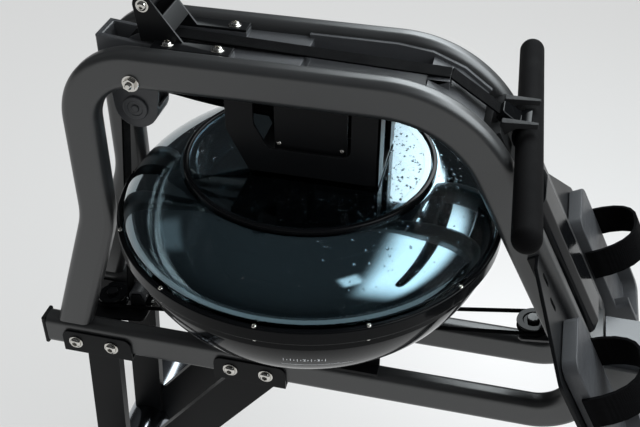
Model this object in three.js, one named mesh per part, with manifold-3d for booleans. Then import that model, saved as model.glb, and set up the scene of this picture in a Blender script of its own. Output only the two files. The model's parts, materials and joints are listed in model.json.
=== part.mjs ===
// Water rowing machine in millimetres, +Z up.
// It stands on z = 0 with its origin at the middle of its footprint.
// The tank end is at -X and the seat end at +X.
// Every piece is laid out about the tank's axis, with height measured from the joint between bowl and dome.
import * as THREE from "three";
import { mergeVertices } from "three/addons/utils/BufferGeometryUtils.js";
import Module from "manifold-3d";

const wasm = await Module();
wasm.setup();

// Shared clearances
const seat_gap = 0.3;
const running_gap = 0.5;
const cut_over = 5;

// Heights and the side tubes
const rim_height = 640;
const tube_height = 50;
const tube_width = 30;
const tube_edge = 8;
const side_spacing = 124;
const frame_front = 395;
const lower_run_z = -250;
const top_run_z = 218;
const top_rear_x = 195;
const rear_lean_deg = 27.5;
const post_x = -283;
const post_knee_z = -21;
const post_lean_deg = 18;
const lower_rear_radius = 66;
const top_rear_radius = 155;
const top_front_radius = 81;
const post_knee_radius = 150;
const cap_thickness = 6;
const small_edge = 1.5;

// Front stand
const leg_width = 58;
const saddle_length = 110;
const saddle_rise = 36;
const saddle_wall = 4;
const saddle_corner = 12;
const front_leg_x = -305;
const brace_leg_x = -72;
const front_saddle_x = -313;
const brace_saddle_x = -73;
const stabilizer_x = -322;
const stabilizer_radius = 40;
const stabilizer_wall = 3;
const stabilizer_half = 228;
const foot_cap_lip = 2;
const foot_cap_length = 30;
const foot_sole_half = 22;
const foot_sole_drop = 3;
const wheel_radius = 22;
const wheel_width = 18;
const wheel_reach = 66;
const wheel_lift = 14;
const wheel_gap = 1.5;
const wheel_bevel = 2;
const axle_radius = 4;

// Tank
const bowl_radius = 250;
const dome_step = 1;
const dome_radius = bowl_radius - dome_step;
const flange_width = 3;
const flange_radius = bowl_radius + flange_width;
const flange_thickness = 6;
const rim_width = 5;
const rim_radius = flange_radius + rim_width;
const rim_above = 12;
const rim_below = 8;
const rim_lip = 8;
const tank_wall = 4;
const dome_edge_z = 16;
const ledge_radius = 168;
const dome_top_z = 80;
const opening_radius = 151;
const bowl_edge_z = -23;
const bowl_floor_radius = 140;
const bowl_floor_z = -120;
const lid_radius = 158;
const lid_thickness = 4;
const skirt_radius = 149;
const skirt_depth = 52;
const skirt_wall = 3;
const lid_boss_radius = 44;
const gasket_height = 8;
const plug_radius = 14;
const plug_head_radius = 19;
const plug_head_height = 7;
const plug_depth = 14;
const plug_y = 112;
const water_level_z = -22;
const shaft_radius = 8;
const hub_radius = 26;
const paddle_radius = 138;
const paddle_top_z = -34;
const paddle_height = 62;
const paddle_thickness = 5;
const paddle_count = 6;
const paddle_gap = 2;

// Tank hanger, drum and cradle
const hanger_wall = 4;
const hanger_y = 56;
const hanger_base_z = 88.3;
const hanger_front = -94;
const hanger_rear = 100;
const hanger_bar = 36;
const hanger_chamfer_top_z = 146;
const hanger_base_front = -66;
const hanger_inner_corner = 10;
const hanger_flange = 30;
const hanger_slope_shares = [0.7, 0.3];
const bearing_radius = 30;
const bearing_height = 20;
const bearing_neck_share = 0.7;
const bridge_length = 44;
const bridge_thickness = 6;
const drum_core = 26;
const drum_flange = 38;
const drum_wall = 4;
const drum_bay = 27;
const drum_base_z = 116;
const bridge_gap = 3;
const cradle_x = 92;
const cradle_length = 46;
const cradle_wall = 5;
const cradle_top_half = 58;
const cradle_pad = 6;

// Straps and pulleys
const strap_width = 25;
const strap_thickness = 2.4;
const upper_pulley_x = -204;
const upper_pulley_z = 204;
const upper_pulley_radius = 34;
const lower_pulley_x = -228;
const lower_pulley_z = 135;
const lower_pulley_radius = 22;
const pulley_flange = 3.5;
const pulley_lip = 3;
const housing_y = 17;
const housing_wall = 4;
const housing_front = -266;
const housing_rear = -191;
const housing_top_front_z = 236;
const housing_top_rear_z = 228;
const housing_bulb = 30;
const housing_rim = 3;
const axle_bolt_radius = 5;
const washer_radius = 11;
const washer_thickness = 2.2;
const bolt_head_radius = 8.5;
const bolt_head_height = 6.5;
const roller_x = -270;
const roller_z = -212;
const roller_radius = 14;
const strap_guide_x = 172;
const strap_guide_z = 225;

// Bungee cord
const cord_diameter = 6;
const cord_slope_deg = 7.6;
const cord_pulley_radius = 20;
const cord_pulley_lip = 4;
const cord_pulley_height = 13;
const front_cord_pulley_x = -316;
const front_cord_pulley_z = -229;
const cord_span = 640;
const cord_gap = 0.6;
const cord_plate_gap = 1;
const clip_length = 26;
const clip_gap = 18;
const clip_width = 22;
const clip_height = 11;
const bracket_wall = 4;
const bracket_gap = 0.6;
const cord_plate_share = 1.35;
const cord_head_share = 0.6;
const cord_end_deg = 153;

// Handle, its rest and the top tray
const handle_radius = 16.5;
const handle_half = 228;
const handle_z = 161;
const neck_half = 18;
const neck_wall = 4;
const neck_thickness = 14;
const neck_length = 46;
const finger_y = 28;
const finger_width = 11;
const finger_root = 20;
const finger_tip = 8;
const finger_reach = 8;
const finger_clear = 4;
const rest_length = 34;
const rest_thickness = 26;
const rest_drop = 4;
const rest_slot_depth = 14;
const finger_root_share = 0.6;
const tray_top_z = 230;
const tray_bottom_z = 197;
const tray_ledge_z = 235.5;
const tray_rim_z = 235;
const tray_front = -158;
const tray_end_deg = 46;
const tray_rim_width = 6;
const tray_recess_front = -11;
const tray_recess_rear = 146;
const tray_recess_z = 211;
const tray_guide_length = 28;

// Display
const bracket_half = 28;
const bracket_front = -207;
const bracket_rear = -150;
const bracket_pivot_x = -200;
const bracket_pivot_z = 283;
const bracket_boss = 13;
const bracket_base_rear = -88;
const bracket_base_front = -188;
const bracket_sheet = 3.5;
const bracket_web_shares = [0.3, 0.62];
const arm_length = 165;
const arm_width = 26;
const arm_thickness = 12;
const arm_lean_deg = 12;
const console_width = 168;
const console_height = 112;
const console_depth = 26;
const console_corner = 14;
const console_tilt_deg = 28;
const console_ear = 9;
const ear_gap = 1.2;
const console_gap = 1;
const button_radius = 8;
const button_travel = 1.5;
const button_proud = 2.5;
const button_pitch = 34;
const button_drop = 38;
const button_pocket = 6;

// Foot section, in the plane of the slanting tubes
const cover_top_s = 66;
const cover_length = 206;
const cover_depth = 26;
const cover_proud = 9;
const cover_crown_share = 0.55;
const cover_shoulder_share = 0.3;
const foot_plate_top_s = 108;
const foot_plate_length = 312;
const foot_plate_flare = 100;
const foot_plate_width = 128;
const foot_plate_neck = 28;
const foot_plate_wall = 5;
const foot_plate_sink = 12;
const foot_slot_width = 8;
const foot_slot_length = 20;
const foot_slot_pitch = 28;
const foot_slot_count = 2;
const foot_slot_inset = 17;
const foot_pad_top_s = 196;
const foot_pad_length = 205;
const foot_pad_width = 98;
const foot_pad_inset = 14;
const foot_pad_thickness = 20;
const foot_pad_corner = 16;
const heel_height = 40;
const heel_wall = 9;
const heel_length = 58;
const foot_travel = 18;
const foot_strap_s = 268;
const foot_strap_width = 46;
const foot_strap_thickness = 4;
const foot_strap_rise = 62;
const foot_strap_powers = [0.75, 0.85];
const foot_strap_steps = 12;

// Rail, seat and rear leg
const rail_front = 414;
const rail_rear = 1648;
const rail_top_z = -136;
const rail_height = 80;
const rail_half = 28;
const rail_flange = 9;
const rail_waist = 21;
const rail_stop_length = 16;
const rail_stop_height = 24;
const rail_stop_half = 8;
const front_stop_x = 640;
const rear_stop_x = 1606;
const mount_wall = 6;
const mount_rear = 560;
const mount_side_z = -176;
const cross_x = 392;
const cross_z = -160;
const cross_size = 40;
const rear_leg_x = 1490;
const rear_leg_run = 62;
const rear_leg_width = 60;
const rear_leg_depth = 40;
const rear_plate_length = 120;
const rear_stabilizer_radius = 30;
const rear_stabilizer_half = 188;
const seat_x = 1060;
const seat_roller_radius = 18;
const seat_roller_width = 16;
const seat_roller_y = 17;
const seat_axle_radius = 5;
const seat_axle_pitch = 128;
const carriage_length = 190;
const carriage_half = 62;
const carriage_wall = 4;
const carriage_side_y = 35;
const carriage_drop = 24;
const carriage_gap = 2;
const cushion_length = 250;
const cushion_width = 330;
const cushion_height = 50;
const cushion_dip = 7;
const cushion_notch = 26;

// Round pieces are drawn with these many sides
const tank_sides = 32;
const wheel_sides = 20;
const pin_sides = 12;
const bevel_steps = 1;
const arc_step_deg = 15;

const degrees = Math.PI / 180;
const sides = { left: -1, right: 1 };
const tube_half = tube_height / 2;
const side_y = side_spacing / 2;
const inner_half = side_y - tube_width / 2;
const outer_half = side_y + tube_width / 2;
const lower_top_z = lower_run_z + tube_half;
const lower_bottom_z = lower_run_z - tube_half;
const top_bottom_z = top_run_z - tube_half;
const floor_z = -rim_height;
const rear_lean = rear_lean_deg * degrees;

// The stretch of y between two distances from the middle, on one side
function span(side, from, to) {
  return [Math.min(side * from, side * to), Math.max(side * from, side * to)];
}

// A closed mesh as a solid that can be joined and cut, and back again
function solidOf(geometry) {
  const bare = geometry.index ? geometry.toNonIndexed() : geometry.clone();
  bare.deleteAttribute("normal");
  bare.deleteAttribute("uv");
  const merged = mergeVertices(bare, seat_gap / 100);
  return new wasm.Manifold(
    new wasm.Mesh({
      numProp: 3,
      vertProperties: new Float32Array(merged.attributes.position.array),
      triVerts: new Uint32Array(merged.index.array),
    }),
  );
}

function geometryOf(solid) {
  const mesh = solid.getMesh();
  const geometry = new THREE.BufferGeometry();
  geometry.setAttribute("position", new THREE.BufferAttribute(new Float32Array(mesh.vertProperties), 3));
  geometry.setIndex(new THREE.BufferAttribute(new Uint32Array(mesh.triVerts), 1));
  geometry.computeVertexNormals();
  return geometry;
}

function join(first, ...others) {
  return geometryOf(others.reduce((sum, other) => sum.add(solidOf(other)), solidOf(first)));
}

function cut(first, ...tools) {
  return geometryOf(tools.reduce((rest, tool) => rest.subtract(solidOf(tool)), solidOf(first)));
}

// A line in a plane with a radius at each corner, as points: [across, up, radius]
function filleted(corners, closed = true) {
  const points = [];
  corners.forEach(([x, z, radius = 0], i) => {
    const here = new THREE.Vector2(x, z);
    const open_end = !closed && (i === 0 || i === corners.length - 1);
    if (!radius || open_end) {
      points.push(here);
      return;
    }
    const before = corners[(i + corners.length - 1) % corners.length];
    const after = corners[(i + 1) % corners.length];
    const back = new THREE.Vector2(before[0] - x, before[1] - z).normalize();
    const ahead = new THREE.Vector2(after[0] - x, after[1] - z).normalize();
    const half = Math.acos(THREE.MathUtils.clamp(back.dot(ahead), -1, 1)) / 2;
    const reach = radius / Math.tan(half);
    const middle = back.clone().add(ahead).normalize().multiplyScalar(radius / Math.sin(half)).add(here);
    const start = here.clone().addScaledVector(back, reach).sub(middle);
    const turn = Math.PI - 2 * half;
    const sense = Math.sign(back.x * ahead.y - back.y * ahead.x) || 1;
    const steps = Math.max(2, Math.round(turn / (arc_step_deg * degrees)));
    for (let k = 0; k <= steps; k++) {
      points.push(start.clone().rotateAround(new THREE.Vector2(), (-sense * turn * k) / steps).add(middle));
    }
  });
  return points;
}

// The same line moved to its right by a distance, with its corner radii to match
function beside(corners, distance) {
  const normals = corners.slice(1).map(([x, z], i) => {
    const run = new THREE.Vector2(x - corners[i][0], z - corners[i][1]).normalize();
    return new THREE.Vector2(run.y, -run.x);
  });
  return corners.map(([x, z, radius = 0], i) => {
    const first = normals[Math.max(0, i - 1)];
    const second = normals[Math.min(normals.length - 1, i)];
    const middle = first.clone().add(second);
    middle.multiplyScalar((2 * distance) / middle.lengthSq());
    const turns_left = first.x * second.y - first.y * second.x >= 0;
    return [x + middle.x, z + middle.y, radius ? radius + (turns_left ? distance : -distance) : 0];
  });
}

// A plate whose outline lies in the XZ plane, from one y to another, with its edges rounded
function sidePlate(outline, from_y, to_y, edge = 0, holes = []) {
  const shape = new THREE.Shape(outline);
  holes.forEach((hole) => shape.holes.push(new THREE.Path(hole)));
  const geometry = new THREE.ExtrudeGeometry(shape, {
    depth: to_y - from_y - 2 * edge,
    bevelEnabled: edge > 0,
    bevelThickness: edge,
    bevelSize: edge,
    bevelOffset: -edge,
    bevelSegments: bevel_steps,
  });
  geometry.rotateX(Math.PI / 2);
  geometry.translate(0, to_y - edge, 0);
  return geometry;
}

// A plate whose outline lies in the XY plane, from one z to another
function flatPlate(outline, from_z, to_z, edge = 0, holes = []) {
  const shape = new THREE.Shape(outline);
  holes.forEach((hole) => shape.holes.push(new THREE.Path(hole)));
  const geometry = new THREE.ExtrudeGeometry(shape, {
    depth: to_z - from_z - 2 * edge,
    bevelEnabled: edge > 0,
    bevelThickness: edge,
    bevelSize: edge,
    bevelOffset: -edge,
    bevelSegments: bevel_steps,
  });
  geometry.translate(0, 0, from_z + edge);
  return geometry;
}

// A bar whose outline lies in the YZ plane, from one x to another
function endPlate(outline, from_x, to_x, edge = 0, holes = []) {
  const geometry = flatPlate(outline, from_x, to_x, edge, holes);
  geometry.rotateX(Math.PI / 2);
  geometry.rotateZ(Math.PI / 2);
  return geometry;
}

function block(x0, x1, y0, y1, z0, z1) {
  const geometry = new THREE.BoxGeometry(x1 - x0, y1 - y0, z1 - z0);
  geometry.translate((x0 + x1) / 2, (y0 + y1) / 2, (z0 + z1) / 2);
  return geometry;
}

function rodZ(radius, z0, z1, x = 0, y = 0, count = pin_sides) {
  const geometry = new THREE.CylinderGeometry(radius, radius, z1 - z0, count);
  geometry.rotateX(Math.PI / 2);
  geometry.translate(x, y, (z0 + z1) / 2);
  return geometry;
}

function rodY(radius, y0, y1, x = 0, z = 0, count = pin_sides) {
  const geometry = new THREE.CylinderGeometry(radius, radius, y1 - y0, count);
  geometry.translate(x, (y0 + y1) / 2, z);
  return geometry;
}

// A body turned about Z from its half section, a list of [radius, height] that closes on itself
function turned(section, count = tank_sides) {
  const loop = [...section, section[0]].map(([r, z]) => new THREE.Vector2(r, z));
  const area = loop.slice(1).reduce((sum, p, i) => sum + loop[i].x * p.y - p.x * loop[i].y, 0);
  const geometry = new THREE.LatheGeometry(area > 0 ? loop : loop.reverse(), count);
  geometry.rotateX(Math.PI / 2);
  return geometry;
}

function turnedY(section, y, x, z, count = wheel_sides) {
  const geometry = turned(section, count);
  geometry.rotateX(-Math.PI / 2);
  geometry.translate(x, y, z);
  return geometry;
}

function roundedBox(x0, x1, y0, y1, corner) {
  return filleted([
    [x0, y0, corner],
    [x1, y0, corner],
    [x1, y1, corner],
    [x0, y1, corner],
  ]);
}

function circle(x, y, radius, count = pin_sides) {
  return Array.from({ length: count }, (_, i) => {
    const angle = (2 * Math.PI * i) / count;
    return new THREE.Vector2(x + radius * Math.cos(angle), y + radius * Math.sin(angle));
  });
}

// A flat strap along a route. Each stop has its place and the direction across the strap.
function ribbon(stops, width, thickness) {
  const position = [];
  const index = [];
  stops.forEach(({ at, across }, i) => {
    const before = stops[Math.max(0, i - 1)].at;
    const after = stops[Math.min(stops.length - 1, i + 1)].at;
    const run = after.clone().sub(before).normalize();
    const up = run.clone().cross(across).normalize();
    [
      [-1, -1],
      [1, -1],
      [1, 1],
      [-1, 1],
    ].forEach(([a, b]) => {
      const corner = at.clone();
      corner.addScaledVector(across, (a * width) / 2).addScaledVector(up, (b * thickness) / 2);
      position.push(corner.x, corner.y, corner.z);
    });
    if (i === 0) return;
    for (let k = 0; k < 4; k++) {
      const a = (i - 1) * 4 + k;
      const b = (i - 1) * 4 + ((k + 1) % 4);
      index.push(a, b, b + 4, a, b + 4, a + 4);
    }
  });
  const last = (stops.length - 1) * 4;
  index.push(0, 2, 1, 0, 3, 2, last, last + 1, last + 2, last, last + 2, last + 3);
  const geometry = new THREE.BufferGeometry();
  geometry.setAttribute("position", new THREE.Float32BufferAttribute(position, 3));
  geometry.setIndex(index);
  geometry.computeVertexNormals();
  return geometry;
}

// Points on an arc in the XZ plane, from one angle to another, measured from +X towards +Z
function arcXZ(x, z, radius, from_deg, to_deg) {
  const steps = Math.max(2, Math.round(Math.abs(to_deg - from_deg) / arc_step_deg));
  return Array.from({ length: steps + 1 }, (_, i) => {
    const angle = (from_deg + ((to_deg - from_deg) * i) / steps) * degrees;
    return new THREE.Vector2(x + radius * Math.cos(angle), z + radius * Math.sin(angle));
  });
}

const machine = new THREE.Group();

function add(name, geometry, look, parent = machine) {
  const mesh = new THREE.Mesh(geometry, new THREE.MeshStandardMaterial(look));
  mesh.name = name;
  parent.add(mesh);
  return mesh;
}

const satin_black = { color: 0x2c2d2f, roughness: 0.45, metalness: 0.3 };
const gloss_black = { color: 0x0c0d0f, roughness: 0.15, metalness: 0 };
const moulded_grey = { color: 0x3a3c40, roughness: 0.6, metalness: 0 };
const webbing_black = { color: 0x101012, roughness: 0.9, metalness: 0 };
const foam_black = { color: 0x161617, roughness: 0.85, metalness: 0 };
const smoke = { color: 0x2a3a44, roughness: 0.08, metalness: 0 };
const clear = { color: 0x9fb8c4, roughness: 0.05, metalness: 0 };
const water_blue = { color: 0x3c7f9c, roughness: 0.05, metalness: 0 };
const bright_steel = { color: 0xc8c8c8, roughness: 0.2, metalness: 1 };
const rubber_black = { color: 0x111111, roughness: 0.8, metalness: 0 };
const rail_metal = { color: 0x45474b, roughness: 0.35, metalness: 0.8 };
const cushion_black = { color: 0x1a1a1c, roughness: 0.75, metalness: 0 };

// Side frames: one bent tube each, along the floor run, up the slant, over the top and down the post
const frame_path = [
  [-frame_front, lower_run_z],
  [top_rear_x + (top_run_z - lower_run_z) * Math.tan(rear_lean), lower_run_z, lower_rear_radius],
  [top_rear_x, top_run_z, top_rear_radius],
  [post_x, top_run_z, top_front_radius],
  [post_x, post_knee_z, post_knee_radius],
  [post_x - (post_knee_z - lower_top_z) * Math.tan(post_lean_deg * degrees), lower_top_z],
];

// Where the post's face, moved sideways, meets the top of the floor run
function postFoot(distance) {
  const line = beside(frame_path, distance);
  const [x0, z0] = line[line.length - 2];
  const [x1, z1] = line[line.length - 1];
  return x0 + ((x1 - x0) * (lower_top_z - z0)) / (z1 - z0);
}

function sideFrame(side) {
  const outer = beside(frame_path, tube_half);
  outer[outer.length - 1] = [postFoot(tube_half), lower_top_z];
  outer.push([-frame_front, lower_top_z]);
  const inner = beside(frame_path, -tube_half).slice(1, -1);
  inner.unshift([postFoot(-tube_half), lower_top_z]);
  const centre = side * side_y;
  const tube = sidePlate(
    filleted(outer),
    centre - tube_width / 2,
    centre + tube_width / 2,
    tube_edge,
    [filleted(inner)],
  );
  const bolt_hole = rodY(
    axle_bolt_radius + running_gap,
    centre - tube_width / 2 - cut_over,
    centre + tube_width / 2 + cut_over,
    upper_pulley_x,
    upper_pulley_z,
  );
  return cut(tube, bolt_hole);
}

// Front stand: two legs that meet on the stabilizer, each under a saddle that clasps the floor run
const stabilizer_z = floor_z + stabilizer_radius + foot_cap_lip + foot_sole_drop;

function saddle(x, centre) {
  const half = tube_width / 2 + seat_gap + saddle_wall;
  const bottom_z = lower_bottom_z - seat_gap - saddle_wall;
  const outline = filleted([
    [x - saddle_length / 2, bottom_z],
    [x + saddle_length / 2, bottom_z],
    [x + saddle_length / 2, lower_bottom_z + saddle_rise, saddle_corner],
    [x - saddle_length / 2, lower_bottom_z + saddle_rise, saddle_corner],
  ]);
  const whole = sidePlate(outline, centre - half, centre + half);
  const inside = half - saddle_wall;
  const reach = saddle_length / 2 + cut_over;
  const tube_space = block(
    x - reach,
    x + reach,
    centre - inside,
    centre + inside,
    lower_bottom_z - seat_gap,
    lower_top_z,
  );
  return cut(whole, tube_space);
}

function leg(top_x, centre) {
  const top_z = lower_bottom_z - seat_gap - saddle_wall / 2;
  const run = new THREE.Vector2(stabilizer_x - top_x, stabilizer_z - top_z);
  const half = leg_width / 2 / Math.cos(Math.atan2(run.x, -run.y));
  const outline = [
    new THREE.Vector2(top_x - half, top_z),
    new THREE.Vector2(stabilizer_x - half, stabilizer_z),
    new THREE.Vector2(stabilizer_x + half, stabilizer_z),
    new THREE.Vector2(top_x + half, top_z),
  ];
  return sidePlate(outline, centre - tube_width / 2, centre + tube_width / 2);
}

function stand(side) {
  const centre = side * side_y;
  const whole = join(
    saddle(front_saddle_x, centre),
    leg(front_leg_x, centre),
    saddle(brace_saddle_x, centre),
    leg(brace_leg_x, centre),
  );
  const reach = tube_width / 2 + saddle_wall + cut_over;
  const bar = rodY(
    stabilizer_radius + seat_gap,
    centre - reach,
    centre + reach,
    stabilizer_x,
    stabilizer_z,
    wheel_sides,
  );
  const below = block(
    stabilizer_x - leg_width * 2,
    stabilizer_x + leg_width * 2,
    centre - reach,
    centre + reach,
    floor_z,
    stabilizer_z,
  );
  return cut(whole, bar, below);
}

function stabilizerTube(radius, half, x, z) {
  return turnedY(
    [
      [radius - stabilizer_wall, -half],
      [radius, -half],
      [radius, half],
      [radius - stabilizer_wall, half],
    ],
    0,
    x,
    z,
  );
}

// An end cap with a flat sole on the floor
function footCap(radius, half, x, z, side) {
  const inner = half + seat_gap;
  const rounded = foot_cap_lip * 3;
  const cap = turnedY(
    [
      [0, side * inner],
      [radius + foot_cap_lip, side * inner],
      [radius + foot_cap_lip, side * (inner + foot_cap_length - rounded)],
      [radius + foot_cap_lip - rounded, side * (inner + foot_cap_length)],
      [0, side * (inner + foot_cap_length)],
    ],
    0,
    x,
    z,
  );
  const sole = block(
    x - foot_sole_half,
    x + foot_sole_half,
    ...span(side, inner, inner + foot_cap_length - rounded),
    floor_z,
    z,
  );
  return join(cap, sole);
}

// The front end caps carry the transport wheels in forks
const wheel_x = stabilizer_x - wheel_reach;
const wheel_z = stabilizer_z + wheel_lift;
const wheel_y = stabilizer_half + seat_gap + foot_cap_length / 2;

function frontFootCap(side) {
  const half = foot_cap_length / 2;
  const centre = side * wheel_y;
  const arm = sidePlate(
    filleted([
      [stabilizer_x, wheel_z - axle_radius * 2],
      [stabilizer_x, wheel_z + axle_radius * 2],
      [wheel_x - axle_radius * 2, wheel_z + axle_radius * 2, axle_radius],
      [wheel_x - axle_radius * 2, wheel_z - axle_radius * 2, axle_radius],
    ]),
    centre - half,
    centre + half,
  );
  const reach = wheel_radius + wheel_gap;
  const space_half = wheel_width / 2 + running_gap;
  const wheel_space = block(
    wheel_x - reach,
    wheel_x + reach,
    centre - space_half,
    centre + space_half,
    wheel_z - reach,
    wheel_z + reach,
  );
  const pin_half = (space_half + half) / 2;
  const pin = rodY(axle_radius, centre - pin_half, centre + pin_half, wheel_x, wheel_z);
  const cap = footCap(stabilizer_radius, stabilizer_half, stabilizer_x, stabilizer_z, side);
  return join(cut(join(cap, arm), wheel_space), pin);
}

function transportWheel(side) {
  const half = wheel_width / 2;
  const bevel = wheel_bevel;
  return turnedY(
    [
      [axle_radius + running_gap, -half],
      [wheel_radius - bevel, -half],
      [wheel_radius, -half + bevel],
      [wheel_radius, half - bevel],
      [wheel_radius - bevel, half],
      [axle_radius + running_gap, half],
    ],
    side * wheel_y,
    wheel_x,
    wheel_z,
  );
}

// Tank. A shell's wall follows a quarter of a rounded curve between its wide edge and its crown.
function shellCurve(wide, wide_z, narrow, narrow_z, spread_power, rise_power, steps) {
  return Array.from({ length: steps + 1 }, (_, i) => {
    const angle = (Math.PI / 2) * (i / steps);
    const spread = Math.cos(angle) ** spread_power;
    const rise = Math.sin(angle) ** rise_power;
    return [narrow + (wide - narrow) * spread, wide_z + (narrow_z - wide_z) * rise];
  });
}

const dome_powers = [1.75, 1.2];
const bowl_powers = [0.7, 1.8];
const shell_steps = 5;

function tankBowl() {
  const outside = shellCurve(
    bowl_radius,
    bowl_edge_z,
    bowl_floor_radius,
    bowl_floor_z,
    ...bowl_powers,
    shell_steps,
  );
  const inside = shellCurve(
    bowl_radius - tank_wall,
    bowl_edge_z,
    bowl_floor_radius,
    bowl_floor_z + tank_wall,
    ...bowl_powers,
    shell_steps,
  ).reverse();
  return turned([
    [bowl_radius - tank_wall, -seat_gap],
    [flange_radius, -seat_gap],
    [flange_radius, -flange_thickness],
    [bowl_radius, -flange_thickness],
    ...outside,
    [0, bowl_floor_z],
    [0, bowl_floor_z + tank_wall],
    ...inside,
  ]);
}

function tankDome() {
  const outside = shellCurve(
    dome_radius,
    dome_edge_z,
    ledge_radius,
    dome_top_z,
    ...dome_powers,
    shell_steps,
  );
  const inside = shellCurve(
    dome_radius - tank_wall,
    dome_edge_z,
    ledge_radius,
    dome_top_z - tank_wall,
    ...dome_powers,
    shell_steps,
  ).reverse();
  return turned([
    [dome_radius - tank_wall, seat_gap],
    [flange_radius, seat_gap],
    [flange_radius, flange_thickness],
    [dome_radius, flange_thickness],
    ...outside,
    [opening_radius, dome_top_z],
    [opening_radius, dome_top_z - tank_wall],
    ...inside,
  ]);
}

function rimRing() {
  const inside = flange_radius + seat_gap;
  return turned([
    [rim_radius - rim_lip, rim_above],
    [rim_radius - rim_lip, flange_thickness + seat_gap],
    [inside, flange_thickness + seat_gap],
    [inside, -flange_thickness - seat_gap],
    [bowl_radius + seat_gap, -flange_thickness - seat_gap],
    [bowl_radius + seat_gap, -rim_below],
    [rim_radius - small_edge, -rim_below],
    [rim_radius, -rim_below + small_edge],
    [rim_radius, rim_above - small_edge],
    [rim_radius - small_edge, rim_above],
  ]);
}

const lid_z = dome_top_z + seat_gap;
const boss_top_z = hanger_base_z - seat_gap;

function tankLid() {
  const lid = turned([
    [shaft_radius + running_gap, lid_z],
    [skirt_radius - skirt_wall, lid_z],
    [skirt_radius - skirt_wall, lid_z - skirt_depth],
    [skirt_radius, lid_z - skirt_depth],
    [skirt_radius, lid_z],
    [lid_radius, lid_z],
    [lid_radius, lid_z + lid_thickness],
    [lid_boss_radius, lid_z + lid_thickness],
    [lid_boss_radius, boss_top_z],
    [shaft_radius + running_gap, boss_top_z],
  ]);
  const plug_hole = rodZ(
    plug_radius + running_gap,
    lid_z - cut_over,
    lid_z + lid_thickness + cut_over,
    0,
    plug_y,
  );
  return cut(lid, plug_hole);
}

function lidGasket() {
  const inner = lid_radius + seat_gap;
  return turned([
    [inner, lid_z],
    [ledge_radius, lid_z],
    [ledge_radius, lid_z + gasket_height - small_edge],
    [ledge_radius - small_edge, lid_z + gasket_height],
    [inner + small_edge, lid_z + gasket_height],
    [inner, lid_z + gasket_height - small_edge],
  ]);
}

function fillPlug() {
  const seat_z = lid_z + lid_thickness + seat_gap;
  const plug = turned(
    [
      [0, seat_z - plug_depth],
      [plug_radius, seat_z - plug_depth],
      [plug_radius, seat_z],
      [plug_head_radius, seat_z],
      [plug_head_radius, seat_z + plug_head_height - small_edge],
      [plug_head_radius - small_edge, seat_z + plug_head_height],
      [0, seat_z + plug_head_height],
    ],
    wheel_sides,
  );
  plug.translate(0, plug_y, 0);
  return plug;
}

// The water fills the bowl around the space that the paddles sweep
function waterFill() {
  const side_wall = shellCurve(
    bowl_radius - tank_wall - running_gap,
    bowl_edge_z,
    bowl_floor_radius,
    bowl_floor_z + tank_wall + running_gap,
    ...bowl_powers,
    shell_steps,
  );
  const sweep = paddle_radius + paddle_gap;
  const sweep_floor = paddle_top_z - paddle_height - paddle_gap;
  return turned([
    [sweep, water_level_z],
    [bowl_radius - tank_wall - running_gap, water_level_z],
    ...side_wall.slice(1),
    [0, bowl_floor_z + tank_wall + running_gap],
    [0, sweep_floor],
    [sweep, sweep_floor],
  ]);
}

const drum_top_z = drum_base_z + drum_wall * 3 + drum_bay * 2;
const bridge_z = drum_top_z + bridge_gap;

function impeller() {
  const bottom_z = paddle_top_z - paddle_height;
  let whole = turned(
    [
      [0, bottom_z],
      [hub_radius, bottom_z],
      [hub_radius, paddle_top_z],
      [shaft_radius, paddle_top_z + hub_radius / 2],
      [shaft_radius, bridge_z + bridge_thickness / 2],
      [0, bridge_z + bridge_thickness / 2],
    ],
    wheel_sides,
  );
  for (let i = 0; i < paddle_count; i++) {
    const paddle = block(
      hub_radius / 2,
      paddle_radius,
      -paddle_thickness / 2,
      paddle_thickness / 2,
      bottom_z,
      paddle_top_z,
    );
    paddle.rotateZ((2 * Math.PI * i) / paddle_count);
    whole = join(whole, paddle);
  }
  return whole;
}

function strapDrum() {
  const bore = shaft_radius + running_gap;
  const pitch = drum_wall + drum_bay;
  const levels = [0, drum_wall, pitch, pitch + drum_wall, pitch * 2];
  const z = levels.map((level) => drum_base_z + level);
  return turned(
    [
      [bore, z[0]],
      [drum_flange, z[0]],
      [drum_flange, z[1]],
      [drum_core, z[1]],
      [drum_core, z[2]],
      [drum_flange, z[2]],
      [drum_flange, z[3]],
      [drum_core, z[3]],
      [drum_core, z[4]],
      [drum_flange, z[4]],
      [drum_flange, drum_top_z],
      [bore, drum_top_z],
    ],
    wheel_sides,
  );
}

function bearingHousing() {
  const base = hanger_base_z + hanger_wall + seat_gap;
  return turned(
    [
      [shaft_radius + running_gap, base],
      [bearing_radius, base],
      [bearing_radius, base + bearing_height / 2],
      [bearing_radius * bearing_neck_share, base + bearing_height],
      [shaft_radius + running_gap, base + bearing_height],
    ],
    wheel_sides,
  );
}

// Tank hanger: side plates under the top runs, a base that the lid hangs from, and a bridge over the drum
function hangerPlate(side) {
  const [low_share, high_share] = hanger_slope_shares;
  const top_z = top_bottom_z - seat_gap;
  const outer = filleted([
    [hanger_front, top_z],
    [hanger_front, hanger_chamfer_top_z],
    [hanger_base_front, hanger_base_z],
    [hanger_rear, hanger_base_z],
    [hanger_rear, top_z],
    [hanger_rear - hanger_bar, top_z],
    [hanger_rear - hanger_bar, hanger_base_z + hanger_bar, hanger_inner_corner],
    [hanger_base_front + hanger_bar * low_share, hanger_base_z + hanger_bar, hanger_inner_corner],
    [hanger_front + hanger_bar, hanger_chamfer_top_z + hanger_bar * high_share, hanger_inner_corner],
    [hanger_front + hanger_bar, top_z],
  ]);
  const centre = side * hanger_y;
  return sidePlate(outer, centre - hanger_wall / 2, centre + hanger_wall / 2);
}

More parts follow.
